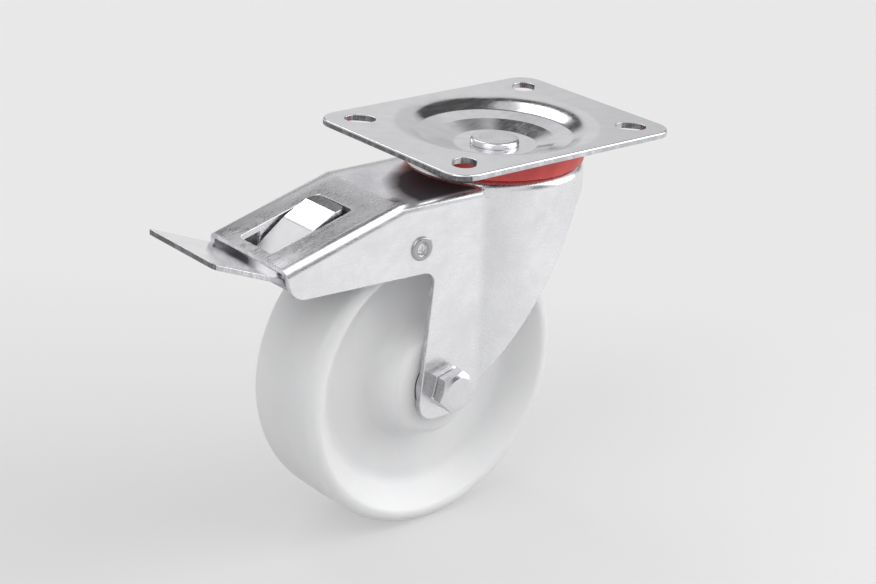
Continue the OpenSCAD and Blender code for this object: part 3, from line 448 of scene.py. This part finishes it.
def drawn_in(f, at):
    """Height of the housing's upper face beside its bends: the square of the way past its flat middle, up to the
    bend's start, times a factor."""
    past = f.math("SUBTRACT", f.math("ABSOLUTE", at["Y"]), DRAWN_START)
    past = f.math("MINIMUM", f.math("MAXIMUM", past, 0.0), DRAWN_WIDTH)
    return f.math("MULTIPLY", f.math("POWER", past, 2.0), DRAWN_RATE)


def zinc_sheet(name, look, more=0.0, shade_painted=False):
    """Plated pressed sheet: dull clouds and rolling streaks, rougher by more. Sheet with painted shade turns dark,
    dull and non-metal beside the swivel bearing, a painted dark reflection of the seal and plate in shade, and is
    drawn in beside the housing's bends."""
    f = Finish(name)
    streak = f.noise(900.0, 2.0, (0.12, 1.0, 1.0))
    patch = f.math("ADD", f.math("MULTIPLY", f.noise(38.0, 5.0, rough=0.6), 0.6),
                   f.math("MULTIPLY", f.noise(160.0), 0.4))
    colour = f.mix(f.between(patch, 0.0, 1.0, 0.38, 0.64), tuple(look.sheet_light), tuple(look.sheet_dull))
    rough = f.math("ADD", f.between(patch, look.sheet_smooth + more, look.sheet_rough + more, 0.35, 0.68),
                   f.between(streak, -0.03, 0.05))
    waves = f.math("ADD", f.noise(45.0, 2.0), f.math("MULTIPLY", streak, 0.04))
    height = f.math("MULTIPLY", waves, 0.12 * MM)
    metallic = 1.0
    if shade_painted:
        at = f.node("ShaderNodeSeparateXYZ", {"Vector": f.place}).outputs
        # Painted shade: beside the bearing the sheet turns dark, duller and less metal
        painted_dark = bearing_shade_paint(f, at)
        colour = f.mix(painted_dark, colour, tuple(look.painted_shade))
        rough = f.math("ADD", rough, f.math("MULTIPLY", painted_dark, SHADE_ROUGH))
        metallic = f.math("SUBTRACT", 1.0, painted_dark)
        height = f.math("ADD", height, drawn_in(f, at))
    f.shade(Base_Color=colour, Metallic=metallic, Roughness=rough, Specular_IOR_Level=0.1)
    f.bump(height, 1.0)
    return f.material


def cut_edge(name, look, dark, specks):
    """Sheared edge of sheet: greyer, rough, with marks across its thickness and bright specks."""
    f = Finish(name)
    tear = f.noise(1500.0, 3.0, (1.0, 1.0, 0.15))
    patch = f.noise(220.0, 3.0)
    speck = f.between(f.math("ADD", f.math("MULTIPLY", patch, 0.5), f.math("MULTIPLY", tear, 0.5)), 0.0, specks,
                      0.47, 0.62)
    f.shade(Base_Color=f.mix(speck, tuple(dark), tuple(look.sheet_dull)), Metallic=1.0,
            Roughness=f.between(tear, 0.30, 0.50))
    f.bump(tear, 0.1 * MM)
    return f.material


def turned_steel(name, light):
    """Plated steel of turned and headed pieces, with slightly darker clouds."""
    f = Finish(name)
    cloud = f.noise(120.0, 3.0)
    fine = f.noise(1800.0, 2.0)
    f.shade(Base_Color=f.mix(f.between(cloud, 0.0, 1.0), tuple(light), tuple(0.92 * c for c in light)), Metallic=1.0,
            Roughness=f.math("ADD", f.between(cloud, 0.16, 0.30), f.between(fine, -0.02, 0.03)))
    f.bump(fine, 0.02 * MM)
    return f.material


def dark_steel(name, look):
    """Dull steel with a thin skin of oil and a few worn patches."""
    f = Finish(name)
    cloud = f.noise(90.0, 4.0)
    fine = f.noise(1300.0, 2.0)
    f.shade(Base_Color=f.mix(f.between(cloud, 0.0, 1.0, 0.5, 0.8), tuple(look.dark), tuple(look.cut_edge)),
            Metallic=1.0, Roughness=f.between(cloud, 0.32, 0.5))
    f.bump(fine, 0.04 * MM)
    return f.material


def milky_nylon(name, look):
    """White polyamide: slightly see-through, with soft clouds and a fine moulded grain."""
    f = Finish(name)
    cloud = f.noise(24.0, 3.0)
    fine = f.noise(900.0, 3.0)
    f.shade(Base_Color=f.mix(f.between(cloud, 0.0, 1.0, 0.35, 0.65), tuple(look.nylon_light), tuple(look.nylon_grey)),
            Roughness=f.between(fine, 0.30, 0.42), IOR=1.53, Subsurface_Weight=0.8,
            Subsurface_Radius=(1.0, 1.0, 1.0), Subsurface_Scale=9 * MM)
    f.bump(fine, 0.04 * MM)
    return f.material


def red_plastic(name, look):
    """Moulded red plastic of the dust seal."""
    f = Finish(name)
    cloud = f.noise(90.0, 3.0)
    fine = f.noise(1400.0, 2.0)
    f.shade(Base_Color=f.mix(f.between(cloud, 0.0, 1.0), tuple(look.seal_red), tuple(look.seal_dark)),
            Roughness=f.between(fine, 0.36, 0.48), IOR=1.5)
    f.bump(fine, 0.04 * MM)
    return f.material


def plain_plastic(name, light, dark):
    """Moulded plastic of a piece inside the castor."""
    f = Finish(name)
    cloud = f.noise(140.0, 3.0)
    fine = f.noise(1400.0, 2.0)
    f.shade(Base_Color=f.mix(f.between(cloud, 0.0, 1.0), light, dark), Roughness=f.between(fine, 0.4, 0.55), IOR=1.5)
    f.bump(fine, 0.03 * MM)
    return f.material


def finish_named(name, make, *looks):
    """The finish of that name, made once."""
    return bpy.data.materials.get(name) or make(name, *looks)


def shared(metal, *names):
    """Metal finishes of those names, which several pieces share."""
    makers = {
        # The fork's finish carries the painted shade beside the swivel bearing
        "fork_zinc": (zinc_sheet, metal, metal.drawn_rough, True),
        "race_zinc": (zinc_sheet, metal),
        "torn_edge": (cut_edge, metal, metal.cut_edge, SHADED_SPECKS),
        "clean_edge": (cut_edge, metal, metal.shear_edge, CLEAN_SPECKS),
        "turned_steel": (turned_steel, metal.turned),
        "rivet_steel": (turned_steel, metal.rivet),
        "dark_steel": (dark_steel, metal),
    }
    return [finish_named(name, *makers[name]) for name in names]


def paint_nodes(finish, *nodes):
    """Gives CAD nodes that stay a finish."""
    for node in nodes:
        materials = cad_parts[node].data.materials
        materials.clear()
        materials.append(finish)


# Pieces


class CASTOR_OT_plate(Operator):
    """Mounting plate with sheared edges and punched slots"""

    bl_idname = "castor.plate"
    bl_label = "Mounting Plate"

    def execute(self, context):
        metal = context.scene.castor_metal
        mesh = merged_copy("top_plate")
        _, normal = face_arrays(mesh)
        sheet = finish_named("plate_zinc", zinc_sheet, metal)
        shaded, clean, under = shared(metal, "torn_edge", "clean_edge", "fork_zinc")
        piece = add_piece("mounting_plate", mesh, "mounting", "zinc_sheet", [sheet, shaded, clean, under], "top_plate")
        # Walls facing -X take the dark edge colour as painted shade, the other walls the clean one
        wall = np.where(normal[:, 0] < -TOWARDS, 1, 2)
        # Faces turned down take the fork's finish, so the plate's underside beside the bearing carries its painted
        # shade
        level = np.where(normal[:, 2] < 0, 3, 0)
        set_finish(mesh, np.where(np.abs(normal[:, 2]) < TOWARDS, wall, level))
        round_edges(piece, metal.edge_bevel)
        return {"FINISHED"}


class CASTOR_OT_swivel(Operator):
    """King pin, dust seal and the two ball races"""

    bl_idname = "castor.swivel"
    bl_label = "Swivel"

    def execute(self, context):
        metal, swivel = context.scene.castor_metal, context.scene.castor_swivel
        steel, race, dark = shared(metal, "turned_steel", "race_zinc", "dark_steel")
        top, foot, head_r = PIN_HIGH[2], PIN_LOW[2], PIN_HIGH[0]
        under = top - swivel.head_h
        pin = rounded([
            [0, foot, 0], [swivel.pin_r + 2.5 * MM, foot, 0.8 * MM],
            [swivel.pin_r + 4 * MM, foot + 3.4 * MM, 0.2 * MM], [swivel.pin_r, foot + 3.4 * MM, 0],
            [swivel.pin_r, under, 0], [head_r - 0.4 * MM, under, 0.3 * MM],
            [head_r, under + 0.5 * MM, 0.3 * MM], [head_r, top, 1.9 * MM], [0.62 * head_r, top, 1.0 * MM],
            [0.56 * head_r, top - 0.12 * MM, 0.5 * MM], [0, top - 0.12 * MM, 0]])
        mesh = lathe("king_pin_turned", pin, 128, False)
        add_piece("king_pin_turned", mesh, "mounting", "bright_steel", [steel], "king_pin")

        lip_z, rim_z = SEAL_LOW[2], SEAL_HIGH[2] - 0.033 * MM
        lip, bore, rim = swivel.seal_lip, swivel.seal_bore, SEAL_HIGH[0]
        wall = np.linspace(0, 1, 97)[4:-4]
        groove_at, groove_w = np.array([[0.30], [0.72]]), 0.035
        dip = swivel.groove * np.exp(-((wall - groove_at) / groove_w) ** 2).sum(0)
        bulge = 0.35 * MM * np.sin(np.pi * wall)
        outer = np.stack([lip + (rim - lip) * wall + bulge * (1 - wall) - dip, lip_z + (rim_z - lip_z) * wall], 1)
        inner = rounded([[bore, rim_z - 3.6 * MM, 0], [bore, lip_z, 0.6 * MM], [lip - 0.5 * MM, lip_z, 0.4 * MM],
                         [outer[0, 0], outer[0, 1], 0]])
        seal = np.concatenate([inner[:-1], outer, [[rim, rim_z]]])
        mesh = lathe("dust_seal_moulded", seal, 192, True)
        red = finish_named("red_plastic", red_plastic, swivel)
        add_piece("dust_seal_moulded", mesh, "mounting", "red_seal", [red], "dust_seal")
        paint_nodes(steel, "upper_balls", "lower_balls")
        paint_nodes(race, "lower_race")
        paint_nodes(dark, "lock_ring")
        return {"FINISHED"}


class CASTOR_OT_fork(Operator):
    """Pressed fork with the brake housing, and the two cupped rivets in its cheeks"""

    bl_idname = "castor.fork"
    bl_label = "Fork"

    # Depths under the fork's top of the crown's lower rim and of the ledges where the cheeks run into the crown
    rim_depth, ledge_depth = 14.5 * MM, 7.7 * MM
    # The cheeks' lower edges lie under the first height, and the ledges beyond the other two places along X and Y
    cheek_foot, ledge_x, ledge_y = -32 * MM, -50 * MM, 29 * MM
    # Radii within which the rims of the rivet holes and of the axle holes are hidden
    rivet_rim, axle_rim = 4.4 * MM, 6.6 * MM
    # Place across of a rivet's inner foot, and that foot's height
    foot_y, foot_h = 24.3 * MM, 0.47 * MM

    def hidden(self, at):
        """Rims of the rivet and axle holes, and the small ledges where the cheeks run into the crown."""
        rivet = np.hypot(at[:, 0] - RIVET_AXIS[0], at[:, 2] - RIVET_AXIS[2]) < self.rivet_rim
        bolt = np.hypot(at[:, 0] - AXLE[0], at[:, 2] - AXLE[2]) < self.axle_rim
        ledge = np.abs(at[:, 2] - (FORK_HIGH[2] - self.ledge_depth)) < 0.6 * MM
        return rivet | bolt | (ledge & (at[:, 0] > self.ledge_x) & (np.abs(at[:, 1]) > self.ledge_y))

    def execute(self, context):
        metal, axle = context.scene.castor_metal, context.scene.castor_axle
        sheet, clean, steel, ring_steel = shared(metal, "fork_zinc", "clean_edge", "turned_steel", "rivet_steel")
        mesh = merged_copy("fork")
        centre, normal = face_arrays(mesh)
        cheek_out = -COLLAR_HIGH[1]
        side = np.abs(centre[:, 1])
        in_cheek = (side > cheek_out - 2.9 * MM) & (side < cheek_out - 0.1 * MM) & (np.abs(normal[:, 1]) < TOWARDS)
        below = (normal[:, 2] < -0.8) & (np.abs(centre[:, 2] - (FORK_HIGH[2] - self.rim_depth)) < 0.3 * MM)
        front = (normal[:, 0] < -0.9) & (centre[:, 0] < FORK_LOW[0] + 4 * MM)
        piece = add_piece("pressed_fork", mesh, "fork", "zinc_sheet", [sheet, clean], "fork")
        set_finish(mesh, (in_cheek & (centre[:, 2] < self.cheek_foot)) | below | front)
        round_edges(piece, metal.edge_bevel, self.hidden)

        cup, shank, head = axle.cup_r, axle.rivet_r, RIVET_HIGH[0] - RIVET_AXIS[0]
        foot, foot_end, end = self.foot_y, self.foot_y + self.foot_h, RIVET_HIGH[1]
        floor = end - axle.cup_h
        rivet = rounded([
            [0, foot, 0], [shank + 1 * MM, foot, 0.2 * MM], [shank + 1 * MM, foot_end, 0], [shank, foot_end, 0],
            [shank, cheek_out, 0], [head, cheek_out, 0.05 * MM], [head, end, 1.2 * MM],
            [cup + 0.2 * MM, end, 1.2 * MM], [cup - 0.2 * MM, floor, 0.7 * MM], [0, floor, 0]], 8)
        for name, way in (("pivot_rivet_near", -1.0), ("pivot_rivet_far", 1.0)):
            mesh = lathe(name, rivet, 72, False, RIVET_AXIS, way)
            made = add_piece(name, mesh, "fork", "bright_steel", [steel, ring_steel])
            centre, _ = face_arrays(mesh)
            out = np.hypot(centre[:, 0] - RIVET_AXIS[0], centre[:, 2] - RIVET_AXIS[2])
            set_finish(mesh, out > cup + 0.1 * MM)
            if way < 0:
                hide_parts("pivot_rivets")
        return {"FINISHED"}


class CASTOR_OT_brake(Operator):
    """Foot pedal, brake arm, brake shoe and their pins"""

    bl_idname = "castor.brake"
    bl_label = "Brake"

    # Range along X of the pedal's scuffed ramp, and how much rougher it is
    ramp, scuff = (-152 * MM, -124 * MM), 0.35

    def execute(self, context):
        metal = context.scene.castor_metal
        mesh = merged_copy("pedal")
        centre, normal = face_arrays(mesh)
        sheet = finish_named("pedal_zinc", zinc_sheet, metal)
        scuffed = finish_named("scuffed_zinc", zinc_sheet, metal, self.scuff)
        shaded, clean, steel, dark = shared(metal, "torn_edge", "clean_edge", "turned_steel", "dark_steel")
        piece = add_piece("foot_pedal", mesh, "pedal", "zinc_sheet", [sheet, shaded, clean, scuffed], "pedal")
        low = span("pedal")[0]
        # The pedal's tip faces -X and takes the dark edge colour as painted shade
        tip = (centre[:, 0] < low[0] + 1.5 * MM) & (normal[:, 0] < -TOWARDS)
        on_ramp = (centre[:, 0] > self.ramp[0]) & (centre[:, 0] < self.ramp[1])
        set_finish(mesh, np.select([tip, np.abs(normal[:, 1]) > 0.7, on_ramp], [1, 2, 3]))
        round_edges(piece, metal.edge_bevel)
        mesh = merged_copy("brake_arm")
        piece = add_piece("brake_arm_pressed", mesh, "brake_arm", "dark_steel", [dark], "brake_arm")
        round_edges(piece, metal.edge_bevel)
        paint_nodes(steel, "pedal_pin", "shoe_rivets")
        shoe = finish_named("shoe_nylon", plain_plastic, (0.10, 0.105, 0.115), (0.075, 0.08, 0.088))
        paint_nodes(shoe, "brake_shoe")
        return {"FINISHED"}


class CASTOR_OT_wheel(Operator):
    """Polyamide wheel with its parting ridge, and the roller bearing in its hub"""

    bl_idname = "castor.wheel"
    bl_label = "Wheel"

    def execute(self, context):
        metal, look = context.scene.castor_metal, context.scene.castor_wheel
        tread, hub = WHEEL_HIGH[2] - AXLE[2], WHEEL_HIGH[1]
        low = tread - look.ridge
        half = np.array([
            [look.bore_r, hub, 0.8 * MM], [look.hub_r, hub, 4 * MM],
            [look.hub_r + look.hub_draft, look.web_half, 8 * MM], [look.root_r, look.web_half, 9 * MM],
            [look.rim_r, look.tread_half, 3 * MM], [low - look.crowning, look.tread_half, 5.5 * MM],
            [low - 0.2 * look.crowning, 0.5 * look.tread_half, 60 * MM], [low, 0.35 * MM, 0]])
        other = half[::-1] * [1, -1, 1]
        start = [[look.bore_r, 0, 0]]
        wheel = rounded(np.concatenate([start, half, [[tread, 0.1 * MM, 0], [tread, -0.1 * MM, 0]], other,
                                        start + np.array([0, -1e-4, 0])]), 8)
        mesh = lathe("nylon_wheel", wheel, 224, True, AXLE)
        nylon = finish_named("milky_nylon", milky_nylon, look)
        add_piece("nylon_wheel", mesh, "wheel", "white_nylon", [nylon], "wheel")
        cage = finish_named("cage_nylon", plain_plastic, (0.11, 0.12, 0.135), (0.085, 0.09, 0.10))
        paint_nodes(cage, "bearing_cage")
        paint_nodes(*shared(metal, "turned_steel"), "bearing_rollers")
        return {"FINISHED"}


class CASTOR_OT_axle(Operator):
    """Axle bolt with its thread, hexagon collar and lock nut"""

    bl_idname = "castor.axle"
    bl_label = "Axle"

    # The hexagons and the thread are smooth up to this angle only
    sharp = 24.0

    def hexagon_rows(self, look, angle, turn, foot, top, hollow, chamfer):
        """Rows of a chamfered hexagon from its foot edge to its flat top: the side follows the hexagon, the chamfer
        falls at 30 degrees outside its circle, the edge is rounded by three short rows, and a hollow of the given
        depth runs round the foot."""
        side = hexagon(angle, look.flats, turn)
        round_r = look.flats / 2 / math.cos(math.pi / 6) - chamfer
        way = np.sign(top - foot)
        fall = np.maximum(side - round_r, 0) * math.tan(math.radians(30))
        inner = np.minimum(side, round_r)
        ease = 0.35 * MM
        return [
            (side - 2 * hollow, np.full_like(side, foot)),
            (side - hollow / 4, np.full_like(side, foot + way * 0.8 * hollow)),
            (side, np.full_like(side, foot + way * hollow)),
            (side, top - way * (fall + ease)),
            (side - 0.1 * MM, top - way * (fall + 0.1 * MM)),
            (inner - 0.25 * MM, np.full_like(side, top - way * 0.04 * MM)),
            (inner - ease - 0.1 * MM, np.full_like(side, top)),
        ]

    def execute(self, context):
        metal, look = context.scene.castor_metal, context.scene.castor_axle
        steel, rolled, dark, race = shared(metal, "turned_steel", "rivet_steel", "dark_steel", "race_zinc")
        count = 144
        angle = circle(count, look.turn)
        r = look.bolt_r
        bore, well, insert = r + 0.03 * MM, r + 1.4 * MM, r + 0.05 * MM
        collar_top, collar_foot = COLLAR_LOW[1], COLLAR_HIGH[1]
        head_top, tip = BOLT_LOW[1], BOLT_HIGH[1]
        level = np.full_like(angle, 1.0)

        def ring(radius, place):
            """Row at one radius and place."""
            return radius * level, place * level

        along = np.arange(tip - 0.05 * MM, -collar_foot + 1.0 * MM, -look.pitch / 10)
        phase = np.mod(along[:, None] / look.pitch - angle / (2 * np.pi), 1.0)
        crest = np.clip(1.7 * (1 - np.abs(2 * phase - 1)) - 0.25, 0, 1)
        thread = np.minimum(r - look.thread_depth * (1 - crest),
                            r - 1.2 * MM + (tip - along[:, None]) * 0.9)
        rows = [ring(0.0, tip), ring(r - 1.3 * MM, tip)]
        rows += [(thread[k:k + 1], along[k] * level) for k in range(len(along))]
        rows += [ring(r, along[-1] - 1 * MM), ring(r, collar_top + 0.02 * MM)]
        rows += self.hexagon_rows(look, angle, look.turn, collar_top, head_top, 0.9 * MM, look.chamfer)
        rows += [ring(0.35 * look.flats, head_top), ring(0.0, head_top)]
        bolt = self.add("axle_bolt_threaded", rows, angle, False, [steel, rolled, dark], "axle_bolt").data
        centre, normal = face_arrays(bolt)
        # Faces turned towards the collar take dark steel: painted shade in the gap between head and collar
        flank = np.where(normal[:, 1] > TOWARDS, 2, np.where(np.abs(normal[:, 1]) < TOWARDS, 1, 0))
        # The head's flats take the darker steel, a painted dark reflection
        set_finish(bolt, np.where(centre[:, 1] < collar_foot, flank, 0))

        rows = [ring(bore, collar_foot)]
        rows += self.hexagon_rows(look, angle, look.turn, collar_foot, collar_top, 0.2 * MM, 0.4 * look.chamfer)
        rows += [ring(bore, collar_top)]
        collar = self.add("hex_collar_thin", rows, angle, True, [steel, rolled], "hex_collar").data
        _, normal = face_arrays(collar)
        # The collar's flats take the darker steel, a painted dark reflection
        set_finish(collar, np.abs(normal[:, 1]) < TOWARDS)

        turn = -look.turn
        foot, crown = NUT_LOW[1], NUT_HIGH[1]
        shoulder = crown - 3.0 * MM
        neck = look.flats / 2 - 0.9 * MM
        rows = [ring(bore, foot), ring(r + 0.5 * MM, foot)]
        rows += self.hexagon_rows(look, circle(count, turn), turn, foot, shoulder, 0.2 * MM, 0.6 * look.chamfer)
        rows += [ring(neck, shoulder - 0.02 * MM), ring(neck, crown - 0.9 * MM),
                 ring(neck - 0.3 * MM, crown - 0.25 * MM), ring(neck - 0.9 * MM, crown),
                 ring(r + 1.5 * MM, crown - 0.1 * MM), ring(well, crown - 0.4 * MM), ring(well, shoulder),
                 ring(bore, shoulder)]
        self.add("lock_nut", rows, circle(count, turn), True, [steel], "axle_nut")

        low, high, edge = shoulder + 0.3 * MM, crown - 0.55 * MM, r + 1.38 * MM
        line = rounded([[insert, low, 0], [edge, low, 0], [edge, high, 0.3 * MM], [insert, high, 0.3 * MM],
                        [insert, low + 0.1 * MM, 0]])
        mesh = lathe("nut_insert", line, 96, True, AXLE)
        plastic = finish_named("insert_nylon", plain_plastic, tuple(look.insert), tuple(0.9 * c for c in look.insert))
        add_piece("nut_insert", mesh, "fork", "white_nylon", [plastic])
        paint_nodes(race, "axle_tube", "hub_washers")
        return {"FINISHED"}

    def add(self, name, rows, angle, closed, finishes, node):
        """Piece from rows of radius and place round the axle."""
        radius = np.concatenate([row[0] for row in rows])
        place = np.concatenate([row[1] for row in rows])
        faces = ring_faces(len(rows), angle.shape[1], closed)
        mesh = make_mesh(name, about_y(radius, place, angle, AXLE), faces, self.sharp)
        return add_piece(name, mesh, "fork", "bright_steel", finishes, node)


class CASTOR_OT_studio(Operator):
    """Paper floor, white room with soft lights, and the camera"""

    bl_idname = "castor.studio"
    bl_label = "Studio"

    # Bright and dark panels overhead, in plan: the range of X and of Y of the direction to them, and their strength
    panels = (
        ((0.42, 0.66), (0.42, 0.92), 0.10),
        ((-0.06, 0.17), (0.38, 0.84), 2.2),
        ((0.16, 0.72), (-0.75, -0.12), 1.5),
        ((-0.75, 0.12), (-0.95, -0.55), 0.2),
        ((-0.85, -0.28), (-0.45, 0.10), 1.3),
        ((0.74, 0.97), (-0.70, -0.16), 2.6),
        ((0.20, 0.88), (-0.06, 0.36), -0.52),
        ((0.19, 0.38), (0.36, 0.62), -0.52),
        ((0.19, 0.38), (0.62, 0.95), -0.52),
        ((0.16, 0.80), (-0.98, -0.79), -0.45),
        ((0.88, 1.05), (0.05, 0.50), -0.35),
    )
    # Half of the floor's width and its cells along a side, the middle of its pool of painted light, where that pool
    # fades out, and the range along X + Y in which the painted shade in front turns into the far tone
    floor_reach, floor_cells = 6.0, 60
    zone, zone_fade, near_fade = (0.22, -0.44), (0.08, 0.50), (0.0, 0.4)
    # Height of the direction at which the panels fade out, and the room's least strength
    horizon, darkest = 0.02, 0.02
    # Camera's axes and place
    camera_axes = (0.7723, -0.6337, 0.0445), (0.2059, 0.3159, 0.9262), (-0.6010, -0.7061, 0.3745)
    camera_place = (-0.6393, -0.7143, 0.2975)

    def execute(self, context):
        look = context.scene.castor_studio
        self.lay_floor(look)
        self.light_room(context.scene, look)
        self.set_camera(context.scene, look)
        context.scene.view_settings.view_transform = "Standard"
        return {"FINISHED"}

    def lay_floor(self, look):
        """Grid of paper under the wheel. Its colour is painted darker in front of the castor as shade and lighter in a
        pool beside it as painted light, with gentle random changes, and its own glow fades the shadows on it."""
        cells = self.floor_cells
        line = np.linspace(-self.floor_reach, self.floor_reach, cells + 1)
        x, y = np.meshgrid(line, line, indexing="ij")
        points = np.stack([x, y, np.full_like(x, WHEEL_LOW[2] - 0.02 * MM)], -1)
        i, j = np.meshgrid(np.arange(cells), np.arange(cells), indexing="ij")
        first = i * (cells + 1) + j
        faces = np.stack([first, first + cells + 1, first + cells + 2, first + 1], -1).reshape(-1, 4)
        mesh = bpy.data.meshes.new("paper_floor")
        mesh.from_pydata(points.reshape(-1, 3).tolist(), [], faces.tolist())
        floor = bpy.data.objects.new("paper_floor", mesh)
        bpy.context.scene.collection.objects.link(floor)
        f = Finish("paper")
        part = f.node("ShaderNodeSeparateXYZ", {"Vector": f.place}).outputs
        # Painted shade: the floor turns darker towards the front, along X + Y, with gentle random changes
        away = f.math("ADD", part["X"], part["Y"])
        cloud = f.math("ADD", away, f.math("MULTIPLY", f.noise(1.3, 2.0), 0.1))
        tone = f.mix(f.between(cloud, 0.0, 1.0, *self.near_fade), tuple(look.floor_shaded_near), tuple(look.floor))
        # Painted light: a lighter pool beside the castor, on the bolt's side
        off = f.node("ShaderNodeVectorMath", {0: f.place, 1: (*self.zone, WHEEL_LOW[2])}, operation="DISTANCE")
        tone = f.mix(f.between(off.outputs["Value"], 1.0, 0.0, *self.zone_fade), tone, tuple(look.floor_lit_side))
        ray = f.node("ShaderNodeLightPath").outputs
        f.shade(Base_Color=f.mix(f.math("MULTIPLY", ray["Is Diffuse Ray"], look.damp), tone, (0.0, 0.0, 0.0)),
                Roughness=0.75, IOR=1.3)
        seen = f.math("MAXIMUM", ray["Is Camera Ray"], f.math("MAXIMUM", ray["Is Glossy Ray"],
                                                              ray["Is Transmission Ray"]))
        glow = f.node("ShaderNodeEmission", {"Color": tone}).outputs["Emission"]
        both = f.node("ShaderNodeMixShader", {0: f.math("MULTIPLY", seen, look.fade), 1: f.shader.outputs["BSDF"],
                                              2: glow})
        f.put(f.tree.nodes["Material Output"].inputs["Surface"], both.outputs["Shader"])
        mesh.materials.append(f.material)

    def light_room(self, scene, look):
        """World whose brightness depends on direction only: an even white room, plus panels overhead. A panel is the
        product of four smooth steps, two across X and two across Y, and fades out at the horizon."""
        world = bpy.data.worlds.new("white_room")
        world.use_nodes = True
        scene.world = world
        room = Nodes(world.node_tree)
        seen = room.node("ShaderNodeTexCoord").outputs["Generated"]
        unit = room.node("ShaderNodeVectorMath", {0: seen}, operation="NORMALIZE").outputs["Vector"]
        part = room.node("ShaderNodeSeparateXYZ", {0: unit}).outputs

        def step(value, edge, soft):
            """Smooth step from 0 to 1 round an edge."""
            made = room.node("ShaderNodeMapRange", {"Value": value, "From Min": edge - soft, "From Max": edge + soft},
                             interpolation_type="SMOOTHSTEP")
            return made.outputs["Result"]

        above = step(part["Z"], self.horizon, self.horizon)
        total = look.sky
        for x_range, y_range, strength in self.panels:
            panel = room.math("MULTIPLY", above, strength)
            for axis, (low, high) in (("X", x_range), ("Y", y_range)):
                inside = room.math("SUBTRACT", step(part[axis], low, look.soft), step(part[axis], high, look.soft))
                panel = room.math("MULTIPLY", panel, inside)
            total = room.math("ADD", panel, total)
        background = room.tree.nodes["Background"].inputs
        room.put(background["Color"], (1.0, 1.0, 1.0))
        room.put(background["Strength"], room.math("MAXIMUM", total, self.darkest))

    def set_camera(self, scene, look):
        """Camera at the photograph's place, looking down on the plate from the pedal's side."""
        data = bpy.data.cameras.new("camera")
        data.sensor_fit = "HORIZONTAL"
        data.sensor_width = 36.0
        data.lens = look.lens
        data.clip_end = 50.0
        camera = bpy.data.objects.new("camera", data)
        scene.collection.objects.link(camera)
        turn = Matrix(self.camera_axes).transposed().to_4x4()
        camera.matrix_world = Matrix.Translation(self.camera_place) @ turn
        scene.camera = camera


class CASTOR_PT_panel(Panel):
    """Castor's pieces and their sizes and colours"""

    bl_idname = "CASTOR_PT_panel"
    bl_label = "Braked Castor"
    bl_space_type = "VIEW_3D"
    bl_region_type = "UI"
    bl_category = "Castor"

    def draw(self, context):
        for operator in OPERATORS:
            self.layout.operator(operator.bl_idname)
        for name in GROUPS:
            group = getattr(context.scene, name)
            box = self.layout.box()
            for key in group.bl_rna.properties.keys():
                if key not in ("rna_type", "name"):
                    box.prop(group, key)


GROUPS = {
    "castor_metal": CastorMetal,
    "castor_wheel": CastorWheel,
    "castor_swivel": CastorSwivel,
    "castor_axle": CastorAxle,
    "castor_studio": CastorStudio,
}
OPERATORS = (CASTOR_OT_plate, CASTOR_OT_swivel, CASTOR_OT_fork, CASTOR_OT_brake, CASTOR_OT_wheel, CASTOR_OT_axle,
             CASTOR_OT_studio)


def register():
    """Adds the property groups, the operators and the panel."""
    for name, group in GROUPS.items():
        bpy.utils.register_class(group)
        setattr(bpy.types.Scene, name, PointerProperty(type=group))
    for kind in (*OPERATORS, CASTOR_PT_panel):
        bpy.utils.register_class(kind)


def unregister():
    """Takes them away again."""
    for kind in (CASTOR_PT_panel, *reversed(OPERATORS)):
        bpy.utils.unregister_class(kind)
    for name, group in reversed(GROUPS.items()):
        delattr(bpy.types.Scene, name)
        bpy.utils.unregister_class(group)


def main():
    """Builds every piece in order."""
    register()
    bpy.ops.castor.plate()
    bpy.ops.castor.swivel()
    bpy.ops.castor.fork()
    bpy.ops.castor.brake()
    bpy.ops.castor.wheel()
    bpy.ops.castor.axle()
    bpy.ops.castor.studio()
    bpy.context.view_layer.update()


if __name__ == "__main__":
    main()
